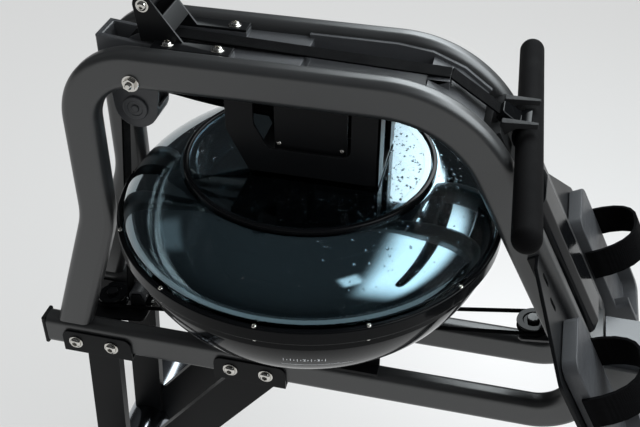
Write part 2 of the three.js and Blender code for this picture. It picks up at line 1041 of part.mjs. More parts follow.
function tankHanger() {
  const inside = hanger_y - hanger_wall / 2;
  const overlap = hanger_wall / 4;
  const base = cut(
    block(
      hanger_base_front,
      hanger_rear,
      -inside - overlap,
      inside + overlap,
      hanger_base_z,
      hanger_base_z + hanger_wall,
    ),
    rodZ(shaft_radius + running_gap, hanger_base_z - cut_over, hanger_base_z + hanger_wall + cut_over),
  );
  const bridge = cut(
    block(
      -bridge_length / 2,
      bridge_length / 2,
      -inside - overlap,
      inside + overlap,
      bridge_z,
      bridge_z + bridge_thickness,
    ),
    rodZ(shaft_radius + running_gap, bridge_z - cut_over, bridge_z + bridge_thickness + cut_over),
  );
  const bridge_legs = Object.values(sides).map((side) => {
    const centre = side * hanger_y;
    return block(
      -bridge_length / 2,
      bridge_length / 2,
      centre - hanger_wall / 2,
      centre + hanger_wall / 2,
      hanger_base_z,
      top_bottom_z - seat_gap,
    );
  });
  const flanges = Object.values(sides).map((side) => {
    const outer = side * (hanger_y + hanger_wall / 2);
    const inner = side * (hanger_y - hanger_flange);
    return block(
      hanger_rear - hanger_wall,
      hanger_rear,
      Math.min(outer, inner),
      Math.max(outer, inner),
      hanger_base_z,
      top_bottom_z - seat_gap,
    );
  });
  return join(base, bridge, hangerPlate(-1), hangerPlate(1), ...flanges, ...bridge_legs);
}

// Cradle: two portals on the floor runs, tied by a strip along each side, under the bowl
function tankCradle() {
  const top_z = bowl_floor_z - seat_gap;
  const base_z = lower_top_z + seat_gap;
  const portals = [-1, 1].map((end) => {
    const outline = [
      [-outer_half, base_z],
      [-outer_half, base_z + cradle_wall],
      [-cradle_top_half, base_z + cradle_wall],
      [-cradle_top_half, top_z],
      [cradle_top_half, top_z],
      [cradle_top_half, base_z + cradle_wall],
      [outer_half, base_z + cradle_wall],
      [outer_half, base_z],
      [cradle_top_half - cradle_wall, base_z],
      [cradle_top_half - cradle_wall, top_z - cradle_wall - cradle_pad],
      [-cradle_top_half + cradle_wall, top_z - cradle_wall - cradle_pad],
      [-cradle_top_half + cradle_wall, base_z],
    ].map(([y, z]) => new THREE.Vector2(y, z));
    const centre = end * cradle_x;
    return endPlate(outline, centre - cradle_length / 2, centre + cradle_length / 2);
  });
  const strips = Object.values(sides).map((side) => {
    const across = span(side, cradle_top_half - cradle_wall, outer_half);
    return block(-cradle_x, cradle_x, ...across, base_z, base_z + cradle_wall);
  });
  return join(...portals, ...strips);
}

// Pulleys with a flat tread between two lips
const pulley_half = strap_width / 2 + pulley_flange + running_gap;

function pulleyY(x, z, tread) {
  const half = pulley_half;
  const bore = axle_bolt_radius + running_gap;
  return turnedY(
    [
      [bore, -half],
      [tread + pulley_lip, -half],
      [tread + pulley_lip, -half + pulley_flange / 2],
      [tread, -half + pulley_flange],
      [tread, half - pulley_flange],
      [tread + pulley_lip, half - pulley_flange / 2],
      [tread + pulley_lip, half],
      [bore, half],
    ],
    0,
    x,
    z,
  );
}

// Pulley housing: a tall box, open at the top and behind, that ends in a round bulb below the top runs
function pulleyHousing() {
  const outline = (inset) => [
    new THREE.Vector2(housing_rear - inset, housing_top_rear_z),
    new THREE.Vector2(housing_front + inset, housing_top_front_z),
    new THREE.Vector2(lower_pulley_x - housing_bulb + inset, lower_pulley_z),
    ...arcXZ(lower_pulley_x, lower_pulley_z, housing_bulb - inset, 180, 360).slice(1),
    new THREE.Vector2(housing_rear - inset, upper_pulley_z - upper_pulley_radius / 2),
  ];
  const outer_y = housing_y + housing_wall;
  const whole = sidePlate(outline(0), -outer_y, outer_y);
  const rim = sidePlate(
    [
      new THREE.Vector2(housing_rear, housing_top_rear_z),
      new THREE.Vector2(housing_front - housing_rim, housing_top_front_z),
      new THREE.Vector2(housing_front - housing_rim, housing_top_front_z - housing_wall),
      new THREE.Vector2(housing_rear, housing_top_rear_z - housing_wall),
    ],
    -outer_y - housing_rim,
    outer_y + housing_rim,
  );
  const cavity = sidePlate(outline(housing_wall), -housing_y, housing_y);
  const over_top = block(
    housing_front + housing_wall,
    housing_rear + cut_over,
    -housing_y,
    housing_y,
    lower_pulley_z,
    housing_top_front_z + cut_over,
  );
  const way_down = block(
    lower_pulley_x - housing_bulb - cut_over,
    lower_pulley_x,
    -housing_y,
    housing_y,
    lower_pulley_z - housing_bulb - cut_over,
    lower_pulley_z + cut_over,
  );
  const bore_radius = axle_bolt_radius + running_gap;
  const bore = rodY(bore_radius, -inner_half, inner_half, upper_pulley_x, upper_pulley_z);
  const pin = rodY(axle_bolt_radius, -outer_y, outer_y, lower_pulley_x, lower_pulley_z);
  return join(cut(join(whole, rim), cavity, over_top, way_down, bore), pin);
}

function axleBolt() {
  const shank_half = outer_half + seat_gap;
  const head = new THREE.CylinderGeometry(bolt_head_radius, bolt_head_radius, bolt_head_height, 6);
  const washer_outer = shank_half + washer_thickness;
  const heads = Object.values(sides).map((side) =>
    head.clone().translate(upper_pulley_x, side * (washer_outer + bolt_head_height / 2), upper_pulley_z),
  );
  const profile = [
    [0, -washer_outer - seat_gap],
    [washer_radius, -washer_outer],
    [washer_radius, -shank_half],
    [axle_bolt_radius, -shank_half],
    [axle_bolt_radius, shank_half],
    [washer_radius, shank_half],
    [washer_radius, washer_outer],
    [0, washer_outer + seat_gap],
  ];
  return join(turnedY(profile, 0, upper_pulley_x, upper_pulley_z), ...heads);
}

// Straps
const across_y = new THREE.Vector3(0, 1, 0);

function stop(x, z, y = 0, across = across_y) {
  return { at: new THREE.Vector3(x, y, z), across };
}

const strap_half = strap_thickness / 2 + seat_gap;
const slope_run = new THREE.Vector2(Math.sin(rear_lean), -Math.cos(rear_lean));
const slope_out = new THREE.Vector2(Math.cos(rear_lean), Math.sin(rear_lean));
const slope_face =
  top_rear_x * slope_out.x + top_run_z * slope_out.y + tube_half;

// A point of the slanting tubes' own plane: s runs down the slant, out stands off its face
function onSlope(s, out) {
  return new THREE.Vector2()
    .addScaledVector(slope_run, s)
    .addScaledVector(slope_out, slope_face + out);
}

// The bar rests on both slanting tubes
const handle_out = handle_radius + seat_gap;
const handle_s =
  (handle_z - (slope_face + handle_out) * slope_out.y) / slope_run.y;
const handle_at = onSlope(handle_s, handle_out);
const guide_at = new THREE.Vector2(strap_guide_x, strap_guide_z + strap_half);
const neck_run = handle_at.clone().sub(guide_at).normalize();
const neck_start = handle_at.clone().addScaledVector(neck_run, -neck_length);
const strap_end = neck_start.clone().addScaledVector(neck_run, -seat_gap);

function pullStrap() {
  const start = guide_at.clone().addScaledVector(neck_run, running_gap);
  return ribbon([stop(start.x, start.y), stop(strap_end.x, strap_end.y)], strap_width, strap_thickness);
}

// Between a pulley and the drum a strap makes a quarter twist, and it runs level over the last stretch
const strap_level_share = 0.22;
const strap_lead_share = 0.14;
const twist_steps = 9;

function twistedStop(pulley_x, pulley_top_z, drum_y, drum_z, share) {
  const twist_share = 1 - strap_level_share - strap_lead_share;
  const turned_share = THREE.MathUtils.clamp((share - strap_lead_share) / twist_share, 0, 1);
  const angle = (turned_share * Math.PI) / 2;
  return {
    at: new THREE.Vector3(
      pulley_x * (1 - share),
      drum_y * share,
      pulley_top_z + (drum_z - pulley_top_z) * turned_share,
    ),
    across: new THREE.Vector3(0, Math.cos(angle), Math.sin(angle)),
  };
}

// From the guide over the upper pulley, under it and, with a quarter twist, on to the side of the drum
function driveStrap() {
  const wrap = upper_pulley_radius + strap_half;
  const stops = [stop(guide_at.x - running_gap, guide_at.y)];
  arcXZ(upper_pulley_x, upper_pulley_z, wrap, 90, 270).forEach((p) => stops.push(stop(p.x, p.y)));
  const drum_z = drum_base_z + drum_wall * 2 + drum_bay + drum_bay / 2;
  const drum_y = -drum_core - strap_half;
  for (let i = 1; i <= twist_steps; i++) {
    stops.push(twistedStop(upper_pulley_x, upper_pulley_z - wrap, drum_y, drum_z, i / twist_steps));
  }
  return ribbon(stops, strap_width, strap_thickness);
}

const cord_slope = cord_slope_deg * degrees;

// From the drum over the lower pulley, down between the posts and under the low roller
function returnStrap() {
  const drum_z = drum_base_z + drum_wall + drum_bay / 2;
  const drum_side = drum_core + strap_half;
  const wrap = lower_pulley_radius + strap_half;
  const stops = [];
  for (let i = twist_steps; i > 0; i--) {
    stops.push(twistedStop(lower_pulley_x, lower_pulley_z + wrap, drum_side, drum_z, i / twist_steps));
  }
  const down = new THREE.Vector2(roller_x - lower_pulley_x, roller_z - lower_pulley_z);
  const gap = roller_wrap - wrap;
  const tilt = Math.asin(gap / down.length());
  const heading = Math.atan2(down.y, down.x) / degrees;
  const leave = heading - 90 + tilt / degrees + 360;
  const turns = [
    ...arcXZ(lower_pulley_x, lower_pulley_z, wrap, 90, leave),
    ...arcXZ(roller_x, roller_z, roller_wrap, leave, 270 + cord_slope_deg),
  ];
  turns.forEach((p) => stops.push(stop(p.x, p.y)));
  const end = cordPlace(clip_along - seat_gap, 0, clip_above);
  stops.push(stop(end.x, end.z));
  return ribbon(stops, strap_width, strap_thickness);
}

function lowRoller() {
  const half = pulley_half - pulley_flange;
  return turnedY(
    [
      [axle_radius + running_gap, -half],
      [roller_radius, -half],
      [roller_radius, half],
      [axle_radius + running_gap, half],
    ],
    0,
    roller_x,
    roller_z,
    pin_sides,
  );
}

// Bungee cord, in a plane that climbs from the front pulley to the rear one
const rear_cord_pulley_x = front_cord_pulley_x + cord_span * Math.cos(cord_slope);
const rear_cord_pulley_z = front_cord_pulley_z + cord_span * Math.sin(cord_slope);
const cord_wrap = cord_pulley_radius + cord_diameter / 2 + cord_gap;

function tilted(geometry, x, z) {
  geometry.rotateY(-cord_slope);
  geometry.translate(x, 0, z);
  return geometry;
}

function cordPulley(x, z) {
  const half = cord_pulley_height / 2;
  const groove = cord_diameter / 2 + seat_gap;
  const rim = cord_pulley_radius + cord_pulley_lip;
  const bore = axle_bolt_radius + running_gap;
  return tilted(
    turned(
      [
        [bore, -half],
        [rim, -half],
        [rim, -half + small_edge],
        [cord_pulley_radius, -groove],
        [cord_pulley_radius, groove],
        [rim, half - small_edge],
        [rim, half],
        [bore, half],
      ],
      wheel_sides,
    ),
    x,
    z,
  );
}

const roller_wrap = roller_radius + strap_half;
const clip_start = new THREE.Vector2(
  roller_x + roller_wrap * Math.sin(cord_slope),
  roller_z - roller_wrap * Math.cos(cord_slope),
);
const cord_run = new THREE.Vector2(Math.cos(cord_slope), Math.sin(cord_slope));
const cord_up = new THREE.Vector2(-Math.sin(cord_slope), Math.cos(cord_slope));

// A place in the cord's plane: along the slope from the front pulley, across, and above the plane
function cordPlace(along, y, above = 0) {
  return new THREE.Vector3(
    front_cord_pulley_x + cord_run.x * along + cord_up.x * above,
    y,
    front_cord_pulley_z + cord_run.y * along + cord_up.y * above,
  );
}

const front_cord_pulley_at = new THREE.Vector2(front_cord_pulley_x, front_cord_pulley_z);
const clip_from_pulley = clip_start.clone().sub(front_cord_pulley_at);
const clip_above = clip_from_pulley.dot(cord_up);
const clip_along = clip_from_pulley.dot(cord_run) + clip_gap;

function bungeeClip() {
  const outline = roundedBox(
    clip_along,
    clip_along + clip_length,
    clip_above - clip_height / 2,
    clip_above + clip_height / 2,
    small_edge,
  );
  const clip = sidePlate(outline, -clip_width / 2, clip_width / 2);
  return tilted(clip, front_cord_pulley_x, front_cord_pulley_z);
}

// The cord's solid has a section at each of its stops, which lie close together on the pulleys
class StopCurve extends THREE.CatmullRomCurve3 {
  getUtoTmapping(u) {
    return u;
  }
}

function cordTurn(along, from, to) {
  const steps = Math.round(Math.abs(to - from) / (Math.PI / 10));
  return Array.from({ length: steps + 1 }, (_, i) => {
    const angle = from + ((to - from) * i) / steps;
    return cordPlace(along + cord_wrap * Math.cos(angle), cord_wrap * Math.sin(angle));
  });
}

function cordRun(from, to, steps) {
  return Array.from({ length: steps }, (_, i) => from.clone().lerp(to, (i + 1) / (steps + 1)));
}

function bungeeCord() {
  const start = cordPlace(clip_along + clip_length + seat_gap, 0, clip_above);
  const rear_in = cordPlace(cord_span, cord_wrap);
  const rear_out = cordPlace(cord_span, -cord_wrap);
  const front_in = cordPlace(0, -cord_wrap);
  const quarter = Math.PI / 2;
  const stops = [
    start,
    ...cordRun(start, rear_in, 5),
    ...cordTurn(cord_span, quarter, -quarter),
    ...cordRun(rear_out, front_in, 5),
    ...cordTurn(0, -quarter, -quarter - cord_end_deg * degrees),
  ];
  const curve = new StopCurve(stops, false, "centripetal");
  const section = new THREE.Shape(circle(0, 0, cord_diameter / 2, 8));
  return new THREE.ExtrudeGeometry(section, {
    extrudePath: curve,
    steps: stops.length - 1,
    bevelEnabled: false,
  });
}

// A plate between the floor runs that carries the front bungee pulley and the low roller
function frontCordBracket() {
  const plate_top = -cord_pulley_height / 2 - cord_plate_gap;
  const half = inner_half - saddle_wall - bracket_gap;
  const front = -cord_pulley_radius * cord_plate_share;
  const rear = (roller_x - front_cord_pulley_x) / cord_run.x + roller_radius * cord_plate_share;
  const plate = flatPlate(
    roundedBox(front, rear, -half, half, tube_edge),
    plate_top - bracket_wall,
    plate_top,
  );
  const pin_top = cord_pulley_height / 2 + running_gap;
  const pin = rodZ(axle_bolt_radius, plate_top - bracket_wall / 2, pin_top + seat_gap);
  const head = rodZ(bolt_head_radius, pin_top, pin_top + bolt_head_height * cord_head_share);
  const local = new THREE.Vector2(roller_x - front_cord_pulley_x, roller_z - front_cord_pulley_z);
  const roller_along = local.dot(cord_run);
  const roller_above = local.dot(cord_up);
  const ear_y = pulley_half - pulley_flange + running_gap;
  const ears = Object.values(sides).map((side) => {
    const outline = filleted([
      [roller_along - roller_radius, plate_top - bracket_wall / 2],
      [roller_along + roller_radius, plate_top - bracket_wall / 2],
      [roller_along + axle_radius * 2, roller_above + axle_radius * 2, axle_radius],
      [roller_along - axle_radius * 2, roller_above + axle_radius * 2, axle_radius],
    ]);
    return sidePlate(outline, ...span(side, ear_y, ear_y + bracket_wall));
  });
  const pin_half = ear_y + bracket_wall;
  const roller_pin = rodY(axle_radius, -pin_half, pin_half, roller_along, roller_above);
  const clear_x = roller_along - roller_radius - strap_thickness * 2;
  const strap_space = block(
    clear_x - cut_over,
    rear + cut_over,
    -ear_y,
    ear_y,
    plate_top - bracket_wall - cut_over,
    plate_top + cut_over,
  );
  const whole = join(cut(plate, strap_space), pin, head, ...ears, roller_pin);
  return tilted(whole, front_cord_pulley_x, front_cord_pulley_z);
}

// Rear cross tube between the slants, with the rail's channel behind it and the bungee pulley's plate ahead
function rearMount() {
  const half = inner_half - seat_gap;
  const cross = block(
    cross_x - cross_size / 2,
    cross_x + cross_size / 2,
    -half,
    half,
    cross_z - cross_size / 2,
    cross_z + cross_size / 2,
  );
  const rail_bottom = rail_top_z - rail_height;
  const channel_half = rail_half + seat_gap + mount_wall;
  const base = block(
    cross_x,
    mount_rear,
    -channel_half,
    channel_half,
    rail_bottom - seat_gap - mount_wall,
    rail_bottom - seat_gap,
  );
  const cheeks = Object.values(sides).map((side) => {
    const across = span(side, rail_half + seat_gap, channel_half);
    return block(cross_x, mount_rear, ...across, rail_bottom - seat_gap - mount_wall, mount_side_z);
  });
  const web = block(
    cross_x - cross_size / 2,
    rail_front - seat_gap,
    -channel_half,
    channel_half,
    rail_bottom - seat_gap - mount_wall,
    cross_z,
  );
  const foot = block(
    cross_x - cross_size / 2,
    cross_x + cross_size / 2,
    -half,
    half,
    rail_bottom - seat_gap - mount_wall,
    rail_bottom - seat_gap,
  );
  const plate_top = -cord_pulley_height / 2 - cord_plate_gap;
  const plate_reach = (cross_x - rear_cord_pulley_x) / cord_run.x;
  const plate = flatPlate(
    roundedBox(
      -cord_pulley_radius,
      plate_reach,
      -cord_pulley_radius * cord_plate_share,
      cord_pulley_radius * cord_plate_share,
      tube_edge,
    ),
    plate_top - bracket_wall,
    plate_top,
  );
  const pin_top = cord_pulley_height / 2 + running_gap;
  const pin = rodZ(axle_bolt_radius, plate_top - bracket_wall / 2, pin_top + seat_gap);
  const head = rodZ(bolt_head_radius, pin_top, pin_top + bolt_head_height * cord_head_share);
  const carrier = tilted(join(plate, pin, head), rear_cord_pulley_x, rear_cord_pulley_z);
  return join(cross, base, web, foot, ...cheeks, carrier);
}

// Handle bar and its neck
function handleBar() {
  const round = handle_radius;
  const steps = 4;
  const end = Array.from({ length: steps + 1 }, (_, i) => {
    const angle = (Math.PI / 2) * (i / steps);
    return [round * Math.cos(angle), handle_half - round + round * Math.sin(angle)];
  });
  const start = end.map(([r, y]) => [r, -y]).reverse();
  return turnedY([...start, ...end], 0, handle_at.x, handle_at.y, pin_sides);
}

// The neck clasps the bar from the strap's side and leaves its far half open
function handleNeck() {
  const collar_radius = handle_radius + seat_gap + neck_wall;
  const wide = neck_half - seat_gap;
  const narrow = strap_width / 2 + small_edge;
  const outline = filleted([
    [0, -narrow, neck_wall],
    [neck_length, -wide],
    [neck_length, wide],
    [0, narrow, neck_wall],
  ]);
  const tongue = flatPlate(outline, -neck_thickness / 2, neck_thickness / 2, small_edge);
  tongue.rotateY(-Math.atan2(neck_run.y, neck_run.x));
  tongue.translate(neck_start.x, 0, neck_start.y);
  const collar = rodY(collar_radius, -neck_half, neck_half, handle_at.x, handle_at.y, wheel_sides);
  const whole = join(tongue, collar);
  const bore_half = neck_half + cut_over;
  const bore = rodY(handle_radius + seat_gap, -bore_half, bore_half, handle_at.x, handle_at.y, wheel_sides);
  const open_reach = collar_radius + cut_over;
  const open_side = block(
    handle_at.x,
    handle_at.x + open_reach,
    -bore_half,
    bore_half,
    handle_at.y - open_reach,
    handle_at.y + open_reach,
  );
  return cut(whole, join(bore, open_side));
}

// Handle rest: a block between the slants, slotted for the neck, with two fingers that reach over the bar
function handleRest() {
  const half = inner_half - seat_gap;
  const rest_s = handle_s - rest_length;
  const base = sidePlate(
    [
      onSlope(rest_s, -rest_drop),
      onSlope(rest_s, -rest_drop - rest_thickness),
      onSlope(rest_s + rest_length, -rest_drop - rest_thickness),
      onSlope(rest_s + rest_length, -rest_drop),
    ],
    -half,
    half,
  );
  const slot = sidePlate(
    [
      onSlope(rest_s - cut_over, finger_root),
      onSlope(rest_s - cut_over, -rest_drop - rest_slot_depth),
      onSlope(rest_s + rest_length + cut_over, -rest_drop - rest_slot_depth),
      onSlope(rest_s + rest_length + cut_over, finger_root),
    ],
    -neck_half - running_gap,
    neck_half + running_gap,
  );
  const tip_x = handle_at.x + finger_reach;
  const under_z = handle_at.y + handle_radius + finger_clear;
  const root = onSlope(rest_s, -rest_drop);
  const outline = [
    new THREE.Vector2(tip_x, under_z),
    new THREE.Vector2(tip_x, under_z + finger_tip),
    new THREE.Vector2(root.x, under_z + finger_tip - small_edge),
    onSlope(rest_s, -rest_drop - small_edge),
    onSlope(rest_s + finger_root * finger_root_share, -rest_drop - small_edge),
    new THREE.Vector2(handle_at.x - handle_radius, under_z),
  ].reverse();
  const fingers = Object.values(sides).map((side) =>
    sidePlate(outline, side * finger_y - finger_width / 2, side * finger_y + finger_width / 2),
  );
  return join(cut(base, slot), ...fingers);
}

// Top tray: a moulded cover between the top runs, with a recess, rims, a strap guide and display ledges
const bend_x = top_rear_x - top_rear_radius * Math.tan((Math.PI / 2 - rear_lean) / 2);
const bend_z = top_run_z - top_rear_radius;

// The outline of a layer that runs level and then follows the bend of the top runs
function bentLayer(from_x, bottom_z, top_z) {
  return [
    new THREE.Vector2(from_x, bottom_z),
    ...arcXZ(bend_x, bend_z, bottom_z - bend_z, 90, tray_end_deg),
    ...arcXZ(bend_x, bend_z, top_z - bend_z, tray_end_deg, 90),
    new THREE.Vector2(from_x, top_z),
  ];
}

function topTray() {
  const half = inner_half - seat_gap;
  const recess_half = half - tray_rim_width;
  const body = sidePlate(bentLayer(tray_front, tray_bottom_z, tray_top_z), -half, half);
  const mirrored = (maker) => Object.values(sides).map((side) => maker(side));
  const rims = mirrored((side) => {
    const outline = bentLayer(tray_recess_front, tray_bottom_z, tray_rim_z);
    return sidePlate(outline, ...span(side, recess_half, half));
  });
  const ledges = mirrored((side) => {
    return block(
      bracket_base_front,
      bracket_base_rear,
      ...span(side, bracket_half - bracket_sheet, half),
      tray_bottom_z,
      tray_ledge_z,
    );
  });
  const recess = block(
    tray_recess_front + tray_rim_width,
    tray_recess_rear,
    -recess_half,
    recess_half,
    tray_recess_z,
    tray_rim_z + cut_over,
  );
  const guide_half = strap_width / 2 + tray_rim_width;
  const guide = sidePlate(
    [
      new THREE.Vector2(strap_guide_x - tray_guide_length, tray_recess_z - small_edge),
      new THREE.Vector2(strap_guide_x + seat_gap, tray_recess_z - small_edge),
      new THREE.Vector2(strap_guide_x, strap_guide_z),
      new THREE.Vector2(strap_guide_x - tray_guide_length, strap_guide_z - small_edge),
    ],
    -guide_half,
    guide_half,
  );
  return join(cut(join(body, ...rims, ...ledges), recess), guide);
}

// Display bracket: two side plates with outward feet on the tray's ledges, and a sloping web over the strap
function displayBracket() {
  const foot_z = tray_ledge_z + seat_gap;
  const plate_outline = [
    new THREE.Vector2(bracket_front, foot_z),
    new THREE.Vector2(bracket_rear, foot_z),
    ...arcXZ(bracket_pivot_x, bracket_pivot_z, bracket_boss, 45, 180),
  ];
  const half = inner_half - seat_gap;
  const plates = Object.values(sides).map((side) => {
    const plate = sidePlate(plate_outline, ...span(side, bracket_half - bracket_sheet, bracket_half));
    const foot = block(
      bracket_base_front,
      bracket_base_rear,
      ...span(side, bracket_half - bracket_sheet, half),
      foot_z,
      foot_z + bracket_sheet,
    );
    return join(plate, foot);
  });
  const pin = rodY(axle_bolt_radius, -bracket_half, bracket_half, bracket_pivot_x, bracket_pivot_z);
  const slope = new THREE.Vector2(bracket_pivot_x + bracket_boss * Math.SQRT1_2 - bracket_rear, 0);
  slope.y = bracket_pivot_z + bracket_boss * Math.SQRT1_2 - foot_z;
  const [low, high] = bracket_web_shares.map((share) =>
    new THREE.Vector2(bracket_rear, foot_z).addScaledVector(slope, share),
  );
  const web = sidePlate(
    [
      new THREE.Vector2(low.x - bracket_sheet, low.y),
      new THREE.Vector2(low.x, low.y),
      new THREE.Vector2(high.x, high.y),
      new THREE.Vector2(high.x - bracket_sheet, high.y),
    ],
    -bracket_half + bracket_sheet / 2,
    bracket_half - bracket_sheet / 2,
  );
  return join(...plates, pin, web);
}

// Display arm and console, with buttons in pockets on its face
const arm_lean = arm_lean_deg * degrees;
const console_x = bracket_pivot_x + arm_length * Math.sin(arm_lean);
const console_z = bracket_pivot_z + arm_length * Math.cos(arm_lean);
const console_tilt = console_tilt_deg * degrees;
const boss_half = bracket_half - bracket_sheet - seat_gap;

function displayArm() {
  const bar = block(-arm_thickness / 2, arm_thickness / 2, -arm_width / 2, arm_width / 2, 0, arm_length);
  const low_boss = rodY(bracket_boss - small_edge, -boss_half, boss_half);
  const ear_space = console_ear * 2 + ear_gap;
  const top_boss = rodY(console_ear, -arm_width / 2, arm_width / 2, 0, arm_length);
  const pin_half = arm_width / 2 + console_ear;
  const top_pin = rodY(axle_radius, -pin_half, pin_half, 0, arm_length);
  const whole = join(
    cut(
      join(bar, low_boss, top_boss),
      rodY(axle_bolt_radius + running_gap, -ear_space * 2, ear_space * 2),
    ),
    top_pin,
  );
  whole.rotateY(arm_lean);
  whole.translate(bracket_pivot_x, 0, bracket_pivot_z);
  return whole;
}

const console_back = console_ear + console_gap;

function consolePlace(geometry) {
  geometry.rotateY(-console_tilt);
  geometry.translate(console_x, 0, console_z);
  return geometry;
}

const buttons = [
  { name: "reset_button", pitch_share: -0.5 },
  { name: "display_button", pitch_share: 0.5 },
];

function consoleCase() {
  const outline = roundedBox(
    -console_width / 2,
    console_width / 2,
    -console_height / 2,
    console_height / 2,
    console_corner,
  );
  const body = endPlate(outline, console_back, console_back + console_depth, small_edge * 2);
  const ears = Object.values(sides).map((side) => {
    const [low, high] = span(side, arm_width / 2 + running_gap, arm_width / 2 + console_ear);
    const ear = join(
      rodY(console_ear, low, high),
      block(0, console_back + small_edge, low, high, -console_ear, console_ear),
    );
    return cut(ear, rodY(axle_radius + running_gap, -console_width / 2, console_width / 2));
  });
  const front = console_back + console_depth;
  const pockets = buttons.map(({ pitch_share }) => {
    const pocket = rodZ(button_radius + running_gap, -button_pocket, cut_over);
    pocket.rotateY(Math.PI / 2);
    pocket.translate(front, pitch_share * button_pitch, -button_drop);
    return pocket;
  });
  return consolePlace(cut(join(body, ...ears), ...pockets));
}

function consoleButton(pitch_share) {
  const stroke = button_travel + seat_gap;
  const button = rodZ(button_radius, -button_pocket + stroke, button_proud);
  button.rotateY(Math.PI / 2);
  button.translate(console_back + console_depth, pitch_share * button_pitch, -button_drop);
  return consolePlace(button);
}

// Foot section: pieces drawn flat, with x down the slant and z out of its face, then laid on the slant
function laidOnSlope(geometry) {
  const turn = new THREE.Matrix4().set(
    slope_run.x, 0, slope_out.x, slope_out.x * slope_face,
    0, 1, 0, 0,
    slope_run.y, 0, slope_out.y, slope_out.y * slope_face,
    0, 0, 0, 1,
  );
  geometry.applyMatrix4(turn);
  return geometry;
}

function footCover() {
  const half = inner_half - seat_gap;
  const section = filleted([
    [-half, -cover_depth],
    [half, -cover_depth],
    [half, cover_proud * cover_shoulder_share, tube_edge],
    [half * cover_crown_share, cover_proud, tube_edge * 2],
    [-half * cover_crown_share, cover_proud, tube_edge * 2],
    [-half, cover_proud * cover_shoulder_share, tube_edge],
  ]);
  return laidOnSlope(endPlate(section, cover_top_s, cover_top_s + cover_length));
}

function footPlate(side) {
  const out = side;
  const inner = out * (outer_half + seat_gap);
  const top = foot_plate_top_s;
  const bottom = top + foot_plate_length;
  const corner = tube_edge;
  const outline = [
    [top, inner],
    [top, inner + out * foot_plate_neck, corner],
    [top + foot_plate_flare, inner + out * foot_plate_width, corner * 2],
    [bottom, inner + out * foot_plate_width, corner * 2],
    [bottom, inner],
  ];
  const slots = [];
  for (let i = 0; i < foot_slot_count; i++) {
    const s = top + foot_slot_inset + foot_slot_pitch * i;
    const y = inner + out * (foot_slot_inset + (foot_slot_pitch * i) / 2);
    const half = foot_slot_width / 2;
    slots.push(roundedBox(s, s + foot_slot_length, y - half, y + half, half - seat_gap));
  }
  const pad_screw = foot_pad_top_s - foot_travel;
  const level = -foot_plate_sink;
  const ordered = out > 0 ? outline : outline.slice().reverse();
  const plate = flatPlate(filleted(ordered), level - foot_plate_wall, level, 0, slots);
  const weld_depth = foot_plate_wall * 3;
  const weld = block(
    top,
    pad_screw,
    Math.min(inner, inner + out * foot_plate_wall),
    Math.max(inner, inner + out * foot_plate_wall),
    level - weld_depth,
    level - foot_plate_wall / 2,
  );
  return laidOnSlope(join(plate, weld));
}

function footPad(side) {
  const out = side;
  const inner = out * (outer_half + seat_gap + foot_pad_inset);
  const outer = inner + out * foot_pad_width;
  const y0 = Math.min(inner, outer);
  const y1 = Math.max(inner, outer);
  const base = -foot_plate_sink + seat_gap;
  const bottom_s = foot_pad_top_s + foot_pad_length;
  const pad = flatPlate(
    roundedBox(foot_pad_top_s, bottom_s, y0, y1, foot_pad_corner),
    base,
    base + foot_pad_thickness,
    small_edge,
  );
  const heel = flatPlate(
    roundedBox(bottom_s - heel_length, bottom_s, y0, y1, foot_pad_corner),
    base + foot_pad_thickness / 2,
    base + heel_height,
    small_edge,
  );
  const heel_space = flatPlate(
    roundedBox(
      foot_pad_top_s - cut_over,
      bottom_s - heel_wall,
      y0 + heel_wall,
      y1 - heel_wall,
      foot_pad_corner,
    ),
    base + foot_pad_thickness,
    base + heel_height + cut_over,
  );
  const whole = cut(join(pad, heel), heel_space);
  return laidOnSlope(whole);
}

function footStrap(side) {
  const out = side;
  const inner = out * (outer_half + seat_gap + foot_pad_inset);
  const middle = inner + (out * foot_pad_width) / 2;
  const reach = foot_pad_width / 2 + foot_strap_thickness / 2 + seat_gap + running_gap;
  const base = -foot_plate_sink + foot_pad_thickness / 2;
  const across = new THREE.Vector3(1, 0, 0);
  const [side_power, crown_power] = foot_strap_powers;
  const stops = [];
  const rise = foot_strap_rise + foot_pad_thickness / 2;
  for (let i = 0; i <= foot_strap_steps; i++) {
    const angle = Math.PI * (i / foot_strap_steps);
    const spread = Math.sign(Math.cos(angle)) * Math.abs(Math.cos(angle)) ** side_power;
    const z = base + rise * Math.sin(angle) ** crown_power;
    stops.push({ at: new THREE.Vector3(foot_strap_s, middle - reach * spread, z), across });
  }
  return laidOnSlope(ribbon(stops, foot_strap_width, foot_strap_thickness));
}

// Rail: a waisted beam with a stop at each end of the seat's travel
function railOutline(grow = 0) {
  const top = rail_top_z + grow;
  const bottom = rail_top_z - rail_height - grow;
  const half = rail_half + grow;
  const waist = rail_waist + grow;
  return [
    [-half, bottom],
    [half, bottom],
    [half, bottom + rail_flange],
    [waist, bottom + rail_flange * 2],
    [waist, top - rail_flange * 2],
    [half, top - rail_flange],
    [half, top],
    [-half, top],
    [-half, top - rail_flange],
    [-waist, top - rail_flange * 2],
    [-waist, bottom + rail_flange * 2],
    [-half, bottom + rail_flange],
  ].map(([y, z]) => new THREE.Vector2(y, z));
}

function seatRail() {
  const beam = endPlate(railOutline(), rail_front, rail_rear);
  const stops = [front_stop_x, rear_stop_x].map((x) =>
    block(
      x - rail_stop_length / 2,
      x + rail_stop_length / 2,
      -rail_stop_half,
      rail_stop_half,
      rail_top_z - seat_gap,
      rail_top_z + rail_stop_height,
    ),
  );
  return join(beam, ...stops);
}

function railEndCap() {
  const outline = roundedBox(
    -rail_half - small_edge,
    rail_half + small_edge,
    rail_top_z - rail_height - small_edge,
    rail_top_z + small_edge,
    cap_thickness,
  );
  return endPlate(outline, rail_rear + seat_gap, rail_rear + seat_gap + cap_thickness * 2, small_edge);
}

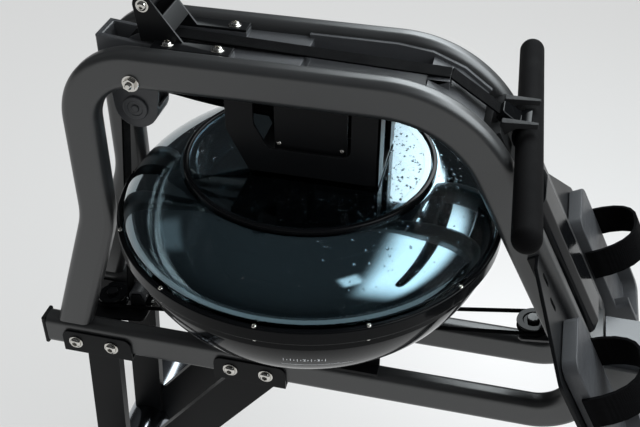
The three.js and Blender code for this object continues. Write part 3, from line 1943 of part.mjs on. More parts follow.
// Rear leg: a plate under the rail, a raked column and the stabilizer tube that it is welded to
const rear_stabilizer_x = rear_leg_x + rear_leg_run;
const rear_stabilizer_z = floor_z + rear_stabilizer_radius + foot_cap_lip + foot_sole_drop;

function rearLeg() {
  const top_z = rail_top_z - rail_height - seat_gap;
  const plate = block(
    rear_leg_x - rear_plate_length / 2,
    rear_leg_x + rear_plate_length / 2,
    -rail_half,
    rail_half,
    top_z - mount_wall,
    top_z,
  );
  const half = rear_leg_width / 2;
  const column = sidePlate(
    [
      new THREE.Vector2(rear_leg_x - half, top_z - mount_wall / 2),
      new THREE.Vector2(rear_stabilizer_x - half, rear_stabilizer_z),
      new THREE.Vector2(rear_stabilizer_x + half, rear_stabilizer_z),
      new THREE.Vector2(rear_leg_x + half, top_z - mount_wall / 2),
    ],
    -rear_leg_depth / 2,
    rear_leg_depth / 2,
  );
  const bar = rodY(
    rear_stabilizer_radius - stabilizer_wall,
    -rear_leg_depth,
    rear_leg_depth,
    rear_stabilizer_x,
    rear_stabilizer_z,
    wheel_sides,
  );
  const tube = stabilizerTube(
    rear_stabilizer_radius,
    rear_stabilizer_half,
    rear_stabilizer_x,
    rear_stabilizer_z,
  );
  return join(cut(join(plate, column), bar), tube);
}

function rearFootCap(side) {
  return footCap(rear_stabilizer_radius, rear_stabilizer_half, rear_stabilizer_x, rear_stabilizer_z, side);
}

// Seat: carriage, two roller pairs and the cushion
const seat_axle_z = rail_top_z + seat_roller_radius;
const carriage_top_z = rail_top_z + seat_roller_radius * 2 + carriage_wall + carriage_gap;

function seatCarriage() {
  const half_length = carriage_length / 2;
  const top = flatPlate(
    roundedBox(seat_x - half_length, seat_x + half_length, -carriage_half, carriage_half, tube_edge),
    carriage_top_z - carriage_wall,
    carriage_top_z,
  );
  const cheeks = Object.values(sides).map((side) => {
    const reach = seat_axle_pitch / 2 + seat_roller_radius;
    const outline = filleted([
      [seat_x - reach, rail_top_z - carriage_drop, tube_edge],
      [seat_x + reach, rail_top_z - carriage_drop, tube_edge],
      [seat_x + reach, carriage_top_z - carriage_wall / 2],
      [seat_x - reach, carriage_top_z - carriage_wall / 2],
    ]);
    return sidePlate(outline, ...span(side, carriage_side_y, carriage_side_y + carriage_wall));
  });
  const bores = [-1, 1].map((end) =>
    rodY(
      seat_axle_radius + running_gap,
      -carriage_half,
      carriage_half,
      seat_x + (end * seat_axle_pitch) / 2,
      seat_axle_z,
    ),
  );
  return cut(join(top, ...cheeks), ...bores);
}

function seatRollers(end) {
  const edge = carriage_side_y + carriage_wall;
  const wheel_in = seat_roller_y - seat_roller_width / 2;
  const wheel_out = seat_roller_y + seat_roller_width / 2;
  const r = seat_roller_radius - seat_gap;
  return turnedY(
    [
      [0, -edge],
      [seat_axle_radius, -edge],
      [seat_axle_radius, -wheel_out],
      [r, -wheel_out],
      [r, -wheel_in],
      [seat_axle_radius, -wheel_in],
      [seat_axle_radius, wheel_in],
      [r, wheel_in],
      [r, wheel_out],
      [seat_axle_radius, wheel_out],
      [seat_axle_radius, edge],
      [0, edge],
    ],
    0,
    seat_x + (end * seat_axle_pitch) / 2,
    seat_axle_z,
  );
}

// The cushion is built in rings: a flat base, drawn-in sides, a crown, and a dip under each thigh
const cushion_sides = 40;
const cushion_ring_shares = [
  [0.9, 0],
  [0.98, 0.14],
  [1, 0.42],
  [0.965, 0.72],
  [0.88, 0.9],
  [0.7, 1],
  [0.46, 1.02],
  [0.2, 1],
];
const cushion_round_power = 2.6;
const cushion_notch_share = 0.28;
const cushion_taper_share = 0.1;
const cushion_flank_share = 0.6;

function cushionOutline(angle) {
  const c = Math.cos(angle);
  const s = Math.sin(angle);
  const power = cushion_round_power;
  const round = (Math.abs(c) ** power + Math.abs(s) ** power) ** (-1 / power);
  const notch = c > 0 ? cushion_notch * Math.exp(-((s / cushion_notch_share) ** 2)) : 0;
  const taper = 1 - (cushion_taper_share * (1 - c)) / 2;
  return [c * round * (cushion_length / 2) - notch, s * round * (cushion_width / 2) * taper];
}

function seatCushion() {
  const base_z = carriage_top_z + seat_gap;
  const position = [];
  const index = [];
  cushion_ring_shares.forEach(([spread, rise]) => {
    const crown = Math.max(0, rise - cushion_flank_share) / (1 - cushion_flank_share);
    for (let i = 0; i < cushion_sides; i++) {
      const angle = (2 * Math.PI * i) / cushion_sides;
      const [x, y] = cushionOutline(angle);
      const thigh = Math.sin(angle) ** 2 * spread;
      const flank = (Math.abs(Math.sin(angle)) ** 6 * spread ** 3) / 2;
      const dip = cushion_dip * crown * (thigh - flank);
      position.push(seat_x + x * spread, y * spread, base_z + cushion_height * rise - dip);
    }
  });
  const rings = cushion_ring_shares.length;
  for (let k = 0; k < rings - 1; k++) {
    for (let i = 0; i < cushion_sides; i++) {
      const a = k * cushion_sides + i;
      const b = k * cushion_sides + ((i + 1) % cushion_sides);
      index.push(a, b, b + cushion_sides, a, b + cushion_sides, a + cushion_sides);
    }
  }
  const bottom = position.length / 3;
  const top = bottom + 1;
  position.push(seat_x, 0, base_z);
  position.push(seat_x, 0, base_z + cushion_height);
  for (let i = 0; i < cushion_sides; i++) {
    const j = (i + 1) % cushion_sides;
    const last = (rings - 1) * cushion_sides;
    index.push(bottom, j, i);
    index.push(top, last + i, last + j);
  }
  const geometry = new THREE.BufferGeometry();
  geometry.setAttribute("position", new THREE.Float32BufferAttribute(position, 3));
  geometry.setIndex(index);
  geometry.computeVertexNormals();
  return geometry;
}

// Assembly
for (const [name, side] of Object.entries(sides)) {
  add(`side_frame_${name}`, sideFrame(side), satin_black);
  add(`front_stand_${name}`, stand(side), satin_black);
  add(`front_foot_cap_${name}`, frontFootCap(side), rubber_black);
  add(`rear_foot_cap_${name}`, rearFootCap(side), rubber_black);
  add(`transport_wheel_${name}`, transportWheel(side), rubber_black);
  add(`foot_plate_${name}`, footPlate(side), satin_black);
  add(`foot_pad_${name}`, footPad(side), moulded_grey);
  add(`foot_strap_${name}`, footStrap(side), webbing_black);
}
const stabilizer_tube = stabilizerTube(stabilizer_radius, stabilizer_half, stabilizer_x, stabilizer_z);
add("front_stabilizer", stabilizer_tube, gloss_black);
add("tank_bowl", tankBowl(), gloss_black);
add("tank_dome", tankDome(), smoke);
add("rim_ring", rimRing(), gloss_black);
add("tank_lid", tankLid(), clear);
add("lid_gasket", lidGasket(), rubber_black);
add("fill_plug", fillPlug(), rubber_black);
add("water", waterFill(), water_blue);
add("impeller", impeller(), gloss_black);
add("strap_drum", strapDrum(), gloss_black);
add("bearing_housing", bearingHousing(), bright_steel);
add("tank_hanger", tankHanger(), satin_black);
add("tank_cradle", tankCradle(), satin_black);
add("upper_pulley", pulleyY(upper_pulley_x, upper_pulley_z, upper_pulley_radius), moulded_grey);
add("lower_pulley", pulleyY(lower_pulley_x, lower_pulley_z, lower_pulley_radius), moulded_grey);
add("pulley_housing", pulleyHousing(), gloss_black);
add("pulley_axle_bolt", axleBolt(), bright_steel);
add("low_roller", lowRoller(), moulded_grey);
add("pull_strap", pullStrap(), webbing_black);
add("drive_strap", driveStrap(), webbing_black);
add("return_strap", returnStrap(), webbing_black);
add("bungee_clip", bungeeClip(), bright_steel);
add("bungee_cord", bungeeCord(), webbing_black);
add("front_cord_pulley", cordPulley(front_cord_pulley_x, front_cord_pulley_z), gloss_black);
add("rear_cord_pulley", cordPulley(rear_cord_pulley_x, rear_cord_pulley_z), gloss_black);
add("front_cord_bracket", frontCordBracket(), satin_black);
add("rear_mount", rearMount(), satin_black);
add("handle_bar", handleBar(), foam_black);
add("handle_neck", handleNeck(), gloss_black);
add("handle_rest", handleRest(), gloss_black);
add("top_tray", topTray(), moulded_grey);
add("display_bracket", displayBracket(), satin_black);
add("display_arm", displayArm(), satin_black);
add("console", consoleCase(), moulded_grey);
buttons.forEach(({ name, pitch_share }) => add(name, consoleButton(pitch_share), rubber_black));
add("foot_cover", footCover(), gloss_black);
add("seat_rail", seatRail(), rail_metal);
add("rail_end_cap", railEndCap(), rubber_black);
add("rear_leg", rearLeg(), satin_black);
add("seat_carriage", seatCarriage(), satin_black);
add("seat_roller_front", seatRollers(-1), rubber_black);
add("seat_roller_rear", seatRollers(1), rubber_black);
add("seat_cushion", seatCushion(), cushion_black);

// The origin is at the middle of the footprint, on the floor
const bounds = new THREE.Box3().setFromObject(machine);
const centre = bounds.getCenter(new THREE.Vector3());
machine.position.set(-centre.x, -centre.y, -bounds.min.z);

export default machine;
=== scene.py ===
"""Water rowing machine: its finishes, small fittings and studio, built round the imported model."""

import json
import math
import random

import bpy
from bpy.props import FloatProperty, FloatVectorProperty, IntProperty, PointerProperty
from mathutils import Matrix, Vector

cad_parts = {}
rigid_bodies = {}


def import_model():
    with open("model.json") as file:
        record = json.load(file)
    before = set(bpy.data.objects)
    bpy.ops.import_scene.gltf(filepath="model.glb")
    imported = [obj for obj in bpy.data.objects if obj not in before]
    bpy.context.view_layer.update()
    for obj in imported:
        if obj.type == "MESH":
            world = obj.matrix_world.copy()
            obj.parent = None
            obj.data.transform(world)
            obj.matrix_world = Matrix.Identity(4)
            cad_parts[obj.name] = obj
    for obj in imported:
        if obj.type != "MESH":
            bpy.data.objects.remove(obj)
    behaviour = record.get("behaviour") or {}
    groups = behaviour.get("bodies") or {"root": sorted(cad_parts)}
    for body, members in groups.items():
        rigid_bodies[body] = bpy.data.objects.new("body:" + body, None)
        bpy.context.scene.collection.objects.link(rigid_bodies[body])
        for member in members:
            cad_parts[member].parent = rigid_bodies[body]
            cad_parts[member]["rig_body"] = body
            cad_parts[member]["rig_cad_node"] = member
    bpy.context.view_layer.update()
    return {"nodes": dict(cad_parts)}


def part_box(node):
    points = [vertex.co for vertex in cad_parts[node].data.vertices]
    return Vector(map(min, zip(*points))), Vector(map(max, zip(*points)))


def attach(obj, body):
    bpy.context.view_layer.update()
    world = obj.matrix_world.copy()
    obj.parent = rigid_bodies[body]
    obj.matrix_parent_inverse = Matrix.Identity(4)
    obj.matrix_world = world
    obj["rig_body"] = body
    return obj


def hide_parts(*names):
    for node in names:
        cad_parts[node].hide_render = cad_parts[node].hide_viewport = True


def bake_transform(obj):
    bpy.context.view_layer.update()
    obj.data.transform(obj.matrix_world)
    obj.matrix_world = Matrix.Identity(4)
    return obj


bl_info = {
    "name": "Water rowing machine",
    "version": (1, 0, 0),
    "blender": (4, 5, 0),
    "location": "View3D > Sidebar > Rower",
    "description": "Builds the finished water rowing machine round its packed model",
    "category": "Add Mesh",
}

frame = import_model()

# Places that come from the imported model: the tank's axis and the joint between bowl and dome
MM = 0.001
GAP = 0.3
SEAT_GAP = GAP * MM
rim_low, rim_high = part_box("rim_ring")
TANK_X = (rim_low.x + rim_high.x) / 2
JOINT_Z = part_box("tank_dome")[0].z - SEAT_GAP
SIDES = {"left": -1, "right": 1}
UP = Vector((0, 0, 1))


def place(x, y, z):
    """A point given in millimetres from the tank's axis and joint, in metres."""
    return Vector((TANK_X + x * MM, y * MM, JOINT_Z + z * MM))


def middle_of(node_name):
    """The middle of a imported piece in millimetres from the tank's axis and joint."""
    low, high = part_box(node_name)
    return ((low + high) / 2 - place(0, 0, 0)) / MM


def size_of(name, description, millimetres):
    """A length that a user may change."""
    length = millimetres * MM
    return FloatProperty(name=name, description=description, default=length, unit="LENGTH", precision=4)


def colour_of(name, description, red, green, blue):
    """A colour that a user may change."""
    return FloatVectorProperty(
        name=name, description=description, default=(red, green, blue), subtype="COLOR", min=0, max=1
    )


class RowerSizes(bpy.types.PropertyGroup):
    """Sizes of the finished pieces."""

    tube_height: size_of("Tube height", "Height of the side tubes' section", 50)
    tube_width: size_of("Tube width", "Width of the side tubes' section", 30)
    tube_edge: size_of("Tube edge", "Radius along the side tubes' edges", 11)
    tank_wall: size_of("Tank wall", "Wall of the bowl and the dome", 4)
    head_radius: size_of("Bolt head radius", "Radius of a main bolt's head", 8.5)
    head_height: size_of("Bolt head height", "Height of a main bolt's head", 5)
    washer_radius: size_of("Washer radius", "Radius of a main bolt's washer", 11)
    washer_height: size_of("Washer height", "Thickness of a main bolt's washer", 1.6)
    edge_round: size_of("Edge rounding", "Rounding along the plates' sharp edges", 0.7)
    cushion_swell: size_of("Cushion swell", "How far a point of the cushion may swell", 6)
    handle_skew: FloatProperty(name="Handle skew", description="Degrees the bar is askew", default=2.5)
    turned_steps: IntProperty(name="Turned steps", description="Steps round a large piece", default=128)
    drop_count: IntProperty(name="Drops", description="Water drops on the lid and the dome", default=640)


class RowerColours(bpy.types.PropertyGroup):
    """Colours of the finishes."""

    powder: colour_of("Powder coat", "Satin coat of the tubes", 0.0195, 0.0198, 0.0202)
    satin: colour_of("Satin black", "Coat of the brackets, stands and plates", 0.0045, 0.0047, 0.0052)
    gloss: colour_of("Gloss black", "Gloss mouldings", 0.003, 0.0032, 0.0036)
    shell: colour_of("Shell grey", "Smooth dark mouldings", 0.046, 0.047, 0.05)
    moulded: colour_of("Moulded grey", "Grained mouldings", 0.038, 0.039, 0.042)
    smoke: colour_of("Smoke", "Tint of the dome", 0.25, 0.28, 0.3)
    lid: colour_of("Lid", "Tint of the lid", 0.27, 0.32, 0.35)
    water: colour_of("Water", "Tint of the water", 0.5, 0.68, 0.74)
    drops: colour_of("Drops", "Tint of the water drops", 0.96, 0.98, 1.0)
    sky: colour_of("Teal", "Tint of what the tank mirrors", 0.46, 0.82, 1.0)
    rubber: colour_of("Rubber", "Feet, wheels and handle rest", 0.008, 0.008, 0.0085)
    webbing: colour_of("Webbing", "Straps and cord", 0.002, 0.002, 0.0023)
    foam: colour_of("Grip foam", "Sleeve of the handle", 0.0022, 0.002, 0.0022)
    leather: colour_of("Seat cover", "Cover of the cushion", 0.012, 0.012, 0.013)
    chrome: colour_of("Dark chrome", "Polished stabilizer tube", 0.3, 0.32, 0.35)
    steel: colour_of("Plated steel", "Bolts and small fittings", 0.72, 0.70, 0.66)
    rail: colour_of("Rail coat", "Coated rail", 0.055, 0.057, 0.062)
    ink: colour_of("Print", "Printed ticks and digits", 0.78, 0.79, 0.80)
    glass: colour_of("Screen", "Pane of the console", 0.012, 0.016, 0.018)
    digits: colour_of("Readings", "Digits on the console", 0.42, 0.5, 0.46)
    floor: colour_of("Floor", "Studio floor", 0.74, 0.745, 0.75)
    backdrop: colour_of("Backdrop", "Pale tone of the room and the floor", 0.73, 0.73, 0.72)
    # Painted pool of light: the tone at the middle of the floor's bright patch
    painted_light_pool: colour_of("Bright patch", "Tone of the floor's bright patch", 1.0, 1.0, 1.0)


def sizes():
    return bpy.context.scene.rower_sizes


def colours():
    return bpy.context.scene.rower_colours


# Selecting and editing


def choose(*objects):
    """Selects only these objects, in object mode, and makes the first one active."""
    if bpy.context.mode != "OBJECT":
        bpy.ops.object.mode_set(mode="OBJECT")
    bpy.ops.object.select_all(action="DESELECT")
    for obj in objects:
        obj.select_set(True)
    if objects:
        bpy.context.view_layer.objects.active = objects[0]


def start_edit(obj, select="SELECT"):
    choose(obj)
    bpy.ops.object.mode_set(mode="EDIT")
    bpy.ops.mesh.select_all(action=select)


def end_edit():
    bpy.ops.object.mode_set(mode="OBJECT")


def moved(obj, matrix):
    """Moves an object and applies its place, so that the object itself stays at the origin."""
    choose(obj)
    obj.matrix_world = matrix
    bpy.ops.object.transform_apply(location=True, rotation=True, scale=True)
    return obj


def close_up(obj, distance=0.01 * MM):
    """Merges doubled points and turns the faces outwards."""
    start_edit(obj)
    bpy.ops.mesh.remove_doubles(threshold=distance)
    bpy.ops.mesh.normals_make_consistent(inside=False)
    end_edit()
    return obj


def apply_modifier(obj, kind, **values):
    """Adds a modifier with these values and applies it."""
    choose(obj)
    modifier = obj.modifiers.new(kind.title(), kind)
    for key, value in values.items():
        setattr(modifier, key, value)
    bpy.ops.object.modifier_apply(modifier=modifier.name)
    return obj


def shade(obj, degrees=40, weighted=True):
    """Smooth shading up to an angle, with large flat faces kept flat."""
    choose(obj)
    bpy.ops.object.shade_smooth_by_angle(angle=math.radians(degrees))
    if weighted:
        apply_modifier(obj, "WEIGHTED_NORMAL", keep_sharp=True, weight=80)
    return obj


def bevelled(obj, width, segments, degrees, **values):
    """Rounds the edges that are sharper than an angle."""
    limit = math.radians(degrees)
    return apply_modifier(
        obj, "BEVEL", width=width, segments=segments, limit_method="ANGLE", angle_limit=limit, **values
    )


def eased(obj, width=None, segments=2, degrees=40):
    """Rounds a piece's sharp edges and shades it."""
    return shade(bevelled(obj, sizes().edge_round if width is None else width, segments, degrees), degrees)


def joined(*objects):
    choose(*objects)
    bpy.ops.object.join()
    return bpy.context.object


def remove(*objects):
    choose(*objects)
    bpy.ops.object.delete()


def cut(obj, tool):
    """Cuts a shape with another one, and removes the second."""
    apply_modifier(obj, "BOOLEAN", operation="DIFFERENCE", object=tool, solver="EXACT")
    remove(tool)
    return obj


def fit(obj, name, finish, body, *nodes, slot=None):
    """Names a finished piece, gives it its finish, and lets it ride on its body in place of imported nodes."""
    dress(obj, name, finish)
    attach(obj, body)
    if nodes:
        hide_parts(*nodes)
    return obj


def dress(obj, name, finish):
    obj.name = name
    obj.data.materials.clear()
    obj.data.materials.append(finishes[finish])


def body_of(node_name):
    return frame["nodes"][node_name]["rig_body"]


# Basic shapes


def one_point(location):
    """A mesh of a single selected point, in edit mode."""
    choose()
    bpy.ops.mesh.primitive_plane_add(size=MM, location=location)
    obj = bpy.context.object
    bpy.ops.object.transform_apply(location=True)
    start_edit(obj)
    bpy.ops.mesh.merge(type="CENTER")
    return obj


def draw_line(points):
    """Draws on from the selected point through the others, one extrusion each."""
    for before, after in zip(points, points[1:]):
        bpy.ops.mesh.extrude_region_move(TRANSFORM_OT_translate={"value": after - before})


def turned(profile, centre=Vector(), axis=UP, out=(1, 0, 0), steps=64):
    """A piece turned on a lathe. The profile holds (radius, height) pairs in metres about the centre."""
    along = Vector(axis).normalized()
    away = Vector(out).normalized()
    points = [centre + away * radius + along * height for radius, height in profile]
    obj = one_point(points[0])
    draw_line(points)
    bpy.ops.mesh.select_all(action="SELECT")
    bpy.ops.mesh.spin(steps=steps, angle=2 * math.pi, center=centre, axis=along)
    end_edit()
    return close_up(obj)


def millimetres(pairs):
    return [(radius * MM, height * MM) for radius, height in pairs]


def direction(radians):
    return math.cos(radians), math.sin(radians)


def arc_points(centre, radius, from_degrees, to_degrees, steps):
    """(across, up) pairs along an arc."""
    points = []
    for i in range(steps + 1):
        across, up = direction(math.radians(from_degrees + (to_degrees - from_degrees) / steps * i))
        points.append((centre[0] + radius * across, centre[1] + radius * up))
    return points


def section_face(centre, width, height, edge):
    """A rounded rectangle that stands square to X, in edit mode: its width lies along Y."""
    choose()
    bpy.ops.mesh.primitive_plane_add(size=1)
    axes = Matrix((Vector((0, 0, height)), Vector((0, width, 0)), Vector((1, 0, 0)))).transposed().to_4x4()
    obj = moved(bpy.context.object, Matrix.Translation(centre) @ axes)
    start_edit(obj)
    bpy.ops.mesh.bevel(offset=edge, segments=6, affect="VERTICES")
    return obj


def cube(low, high):
    """A sharp block between two corners."""
    choose()
    bpy.ops.mesh.primitive_cube_add(size=1)
    stretch = Matrix.Diagonal((*(high - low), 1))
    return moved(bpy.context.object, Matrix.Translation((low + high) / 2) @ stretch)


def rounded_block(low, high, edge, segments=3):
    """A block between two corners with rounded edges."""
    obj = cube(low, high)
    start_edit(obj)
    bpy.ops.mesh.bevel(offset=edge, segments=segments, affect="EDGES")
    end_edit()
    return obj


def raw_block(low, high):
    """A sharp block between two corners in millimetres."""
    return cube(place(*low), place(*high))


def turned_to(direction_to):
    """A rotation that points +Z along a direction."""
    return Vector(direction_to).normalized().to_track_quat("Z", "Y").to_matrix().to_4x4()


def prism(radius, length, sides, matrix):
    """A rod with this many sides, centred at the origin along +Z and then moved."""
    choose()
    bpy.ops.mesh.primitive_cylinder_add(vertices=sides, radius=radius, depth=length)
    return moved(bpy.context.object, matrix)


def raw_rod(centre, axis, radius, length, sides=64):
    """A rod along an axis, centred at a point in millimetres."""
    return prism(radius * MM, length * MM, sides, Matrix.Translation(place(*centre)) @ turned_to(axis))


def set_copies(template, places):
    """Copies a template modelled at the origin to (point, direction) places and joins the copies."""
    copies = []
    for point, facing in places:
        choose(template)
        bpy.ops.object.duplicate()
        copy = bpy.context.object
        copy.matrix_world = Matrix.Translation(point) @ turned_to(facing)
        copies.append(copy)
    whole = joined(*copies)
    bpy.ops.object.transform_apply(location=True, rotation=True, scale=True)
    return whole


def lettered(words, size, matrix):
    """A word or number as a thin solid, centred at the origin and then moved."""
    choose()
    bpy.ops.object.text_add()
    text = bpy.context.object
    text.data.body = words
    text.data.size = size * MM
    text.data.extrude = PRINT_RELIEF * MM
    text.data.align_x = "CENTER"
    text.data.align_y = "CENTER"
    bpy.ops.object.convert(target="MESH")
    return moved(text, matrix)


def filleted(points, steps=5):
    """The corners of an outline, (x, z) or (x, z, radius) in millimetres, with the round ones as arcs."""
    corners = []
    for i, here in enumerate(points):
        corner = Vector(here[:2])
        if len(here) == 2:
            corners.append(corner)
            continue
        back = (Vector(points[i - 1][:2]) - corner).normalized()
        ahead = (Vector(points[(i + 1) % len(points)][:2]) - corner).normalized()
        half = back.angle(ahead) / 2
        radius = here[2]
        middle = corner + (back + ahead).normalized() * (radius / math.sin(half))
        start = corner + back * (radius / math.tan(half)) - middle
        end = corner + ahead * (radius / math.tan(half)) - middle
        for step in range(steps + 1):
            corners.append(middle + start.lerp(end, step / steps).normalized() * radius)
    return corners


def raw_plate(points, near, far):
    """A plate cut to an outline in millimetres, from one Y place to another."""
    corners = [place(corner.x, near, corner.y) for corner in filleted(points)]
    obj = one_point(corners[0])
    draw_line(corners)
    bpy.ops.mesh.select_all(action="SELECT")
    bpy.ops.mesh.edge_face_add()
    bpy.ops.mesh.extrude_region_move(TRANSFORM_OT_translate={"value": (0, (far - near) * MM, 0)})
    end_edit()
    return close_up(obj)


def merged_copy(node_name):
    """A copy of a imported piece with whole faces, free to be worked on."""
    obj = loose_copy(node_name)
    start_edit(obj)
    bpy.ops.mesh.remove_doubles(threshold=0.02 * MM)
    bpy.ops.mesh.dissolve_limited(angle_limit=math.radians(0.5))
    end_edit()
    return obj


def loose_copy(node_name):
    """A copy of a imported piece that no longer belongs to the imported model."""
    choose(frame["nodes"][node_name])
    bpy.ops.object.duplicate()
    obj = bpy.context.object
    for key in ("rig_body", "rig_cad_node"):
        del obj[key]
    obj.parent = None
    return obj


def finished_copy(node_name, degrees=50, edge=None):
    """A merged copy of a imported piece, with its sharp edges rounded and its curves shaded smooth."""
    obj = merged_copy(node_name)
    edge = sizes().edge_round if edge is None else edge
    if edge:
        bevelled(obj, edge, 2, degrees + 5, use_clamp_overlap=False)
    return shade(obj, degrees)


# Shader nodes


def feed(tree, socket, value):
    """Links a socket into another one, or sets a constant on it."""
    if isinstance(value, bpy.types.NodeSocket):
        tree.links.new(value, socket)
    else:
        socket.default_value = value


def node(tree, kind, inputs=None, **properties):
    """Adds a shader node with these properties and inputs."""
    made = tree.nodes.new("ShaderNode" + kind)
    for key, value in properties.items():
        setattr(made, key, value)
    for key, value in (inputs or {}).items():
        feed(tree, made.inputs[key], value)
    return made


def maths(tree, operation, *values):
    return node(tree, "Math", dict(enumerate(values)), operation=operation).outputs["Value"]


def spread(tree, mask, low, high, start=0.0, end=1.0, **properties):
    """Maps a mask's range on to another one."""
    inputs = {"Value": mask, "From Min": start, "From Max": end, "To Min": low, "To Max": high}
    return node(tree, "MapRange", inputs, **properties).outputs["Result"]


def toned(tree, colour, mask, low, high):
    """A colour made darker or lighter by a mask."""
    inputs = {0: colour, "Scale": spread(tree, mask, low, high)}
    return node(tree, "VectorMath", inputs, operation="SCALE").outputs["Vector"]


def rgba(colour):
    return (*colour, 1)


# Effects that several finishes share


def new_group(name, inputs, outputs):
    """An empty node group: its given sockets, the sockets it puts out, and the place on the piece."""
    group = bpy.data.node_groups.new(name, "ShaderNodeTree")
    for label, default in inputs.items():
        kind = "NodeSocketColor" if label == "Colour" else "NodeSocketFloat"
        group.interface.new_socket(name=label, in_out="INPUT", socket_type=kind).default_value = default
    for label in outputs:
        kind = "NodeSocketColor" if label == "Colour" else "NodeSocketFloat"
        group.interface.new_socket(name=label, in_out="OUTPUT", socket_type=kind)
    given = group.nodes.new("NodeGroupInput").outputs
    out = group.nodes.new("NodeGroupOutput").inputs
    return group, given, out, node(group, "TexCoord").outputs["Object"]


def sprayed_effect():
    """Orange peel of a sprayed coat, and a slow change of shade and roughness."""
    defaults = {"Colour": (0.04, 0.04, 0.04, 1), "Scale": 900}
    group, given, out, where = new_group("Sprayed coat", defaults, ("Colour", "Roughness", "Height"))
    slow = node(group, "TexNoise", {"Vector": where, "Scale": 14, "Detail": 3}).outputs["Fac"]
    peel = node(group, "TexNoise", {"Vector": where, "Scale": given["Scale"], "Detail": 1})
    feed(group, out["Colour"], toned(group, given["Colour"], slow, 0.82, 1.2))
    feed(group, out["Roughness"], spread(group, slow, 0.3, 0.42))
    feed(group, out["Height"], peel.outputs["Fac"])
    return group


def grain_effect():
    """Leather-like grain of a moulding or a cover, with lighter tops."""
    defaults = {"Colour": (0.05, 0.05, 0.05, 1), "Scale": 700}
    group, given, out, where = new_group("Moulded grain", defaults, ("Colour", "Height"))
    cells = node(group, "TexVoronoi", {"Vector": where, "Scale": given["Scale"]}, feature="SMOOTH_F1")
    slow = node(group, "TexNoise", {"Vector": where, "Scale": 22, "Detail": 4}).outputs["Fac"]
    tops = maths(group, "MULTIPLY_ADD", cells.outputs["Distance"], slow, 0.35)
    feed(group, out["Colour"], toned(group, given["Colour"], tops, 0.85, 1.25))
    feed(group, out["Height"], cells.outputs["Distance"])
    return group


def handling_effect():
    """Faint wipe marks, as a change of roughness."""
    group, given, out, where = new_group("Handling marks", {"Low": 0.05, "High": 0.16}, ("Roughness",))
    stretched = node(group, "Mapping", {"Vector": where, "Scale": (1, 1, 4)}).outputs["Vector"]
    marks = node(group, "TexNoise", {"Vector": stretched, "Scale": 26, "Detail": 6, "Roughness": 0.7})
    rough = spread(group, marks.outputs["Fac"], given["Low"], given["High"], 0.35, 0.75)
    feed(group, out["Roughness"], rough)
    return group


def weave_effect():
    """Ribs of woven yarn along two directions."""
    defaults = {"Colour": (0.01, 0.01, 0.01, 1), "Scale": 500}
    group, given, out, where = new_group("Woven yarn", defaults, ("Colour", "Height"))
    inputs = {"Vector": where, "Scale": given["Scale"], "Distortion": 0.4}
    waves = [node(group, "TexWave", inputs, bands_direction=way).outputs["Fac"] for way in ("Y", "DIAGONAL")]
    ribs = maths(group, "MULTIPLY", *waves)
    feed(group, out["Colour"], toned(group, given["Colour"], ribs, 0.6, 1.9))
    feed(group, out["Height"], ribs)
    return group


# Finishes

# Opaque finish: material, effect, its scale, strength and depth in millimetres of the relief, roughness range
# where handling marks set it, and constants of the shader
SHINE = "Specular IOR Level"
OPAQUE = {
    "powder": ("powder_coat", "sprayed", 1100, 0.35, 0.1, None, {SHINE: 0.9}),
    "satin": ("satin_black", "sprayed", 900, 0.3, 0.1, None, {SHINE: 0.14}),
    "rail": ("rail_coat", "sprayed", 1600, 0.2, 0.1, None, {"Coat Weight": 0.3, "Coat Roughness": 0.2}),
    "ink": ("tank_print", "sprayed", 800, 0.05, 0.1, None, {}),
    "digits": ("display_digits", "sprayed", 600, 0.02, 0.1, None, {}),
    "chrome": ("dark_chrome", "sprayed", 1500, 0.03, 0.05, (0.14, 0.22), {"Metallic": 1}),
    "steel": ("plated_steel", "sprayed", 1500, 0.03, 0.05, (0.12, 0.3), {"Metallic": 1}),
    "gloss": ("gloss_shell", "sprayed", 260, 0.03, 0.2, (0.06, 0.16), {"IOR": 1.18}),
    "glass": ("display_glass", "sprayed", 260, 0.03, 0.2, (0.04, 0.1), {"IOR": 1.18}),
    "shell": ("satin_shell", "grain", 1400, 0.2, 0.3, (0.3, 0.42), {}),
    "moulded": ("moulded_grey", "grain", 900, 0.5, 0.3, (0.42, 0.6), {}),
    "rubber": ("black_rubber", "grain", 1500, 0.3, 0.3, (0.5, 0.7), {SHINE: 0.25}),
    "foam": ("grip_foam", "grain", 1300, 0.55, 0.3, (0.72, 0.85), {SHINE: 0.06}),
    "leather": ("seat_cover", "grain", 520, 0.5, 0.3, (0.42, 0.6), {}),
    "webbing": ("webbing", "weave", 260, 0.6, 0.3, (0.72, 0.9), {SHINE: 0.05}),
    "braid": ("cord_braid", "weave", 420, 0.6, 0.3, (0.72, 0.9), {SHINE: 0.05}),
}
# Clear finish: material, refraction, roughness range, weight of its coat
CLEAR = {
    "smoke": ("smoked_dome", 2.3, 0.02, 0.08, 0.6),
    "lid": ("clear_lid", 1.9, 0.03, 0.1, 0.6),
    "water": ("tank_water", 1.33, 0.0, 0.02, 0.0),
    "drops": ("drops", 1.33, 0.0, 0.01, 0.0),
}
# Material of each finish, by its key
finishes = {}


class RowerStep(bpy.types.Operator):
    """One step of the build."""

    bl_options = {"REGISTER", "UNDO"}


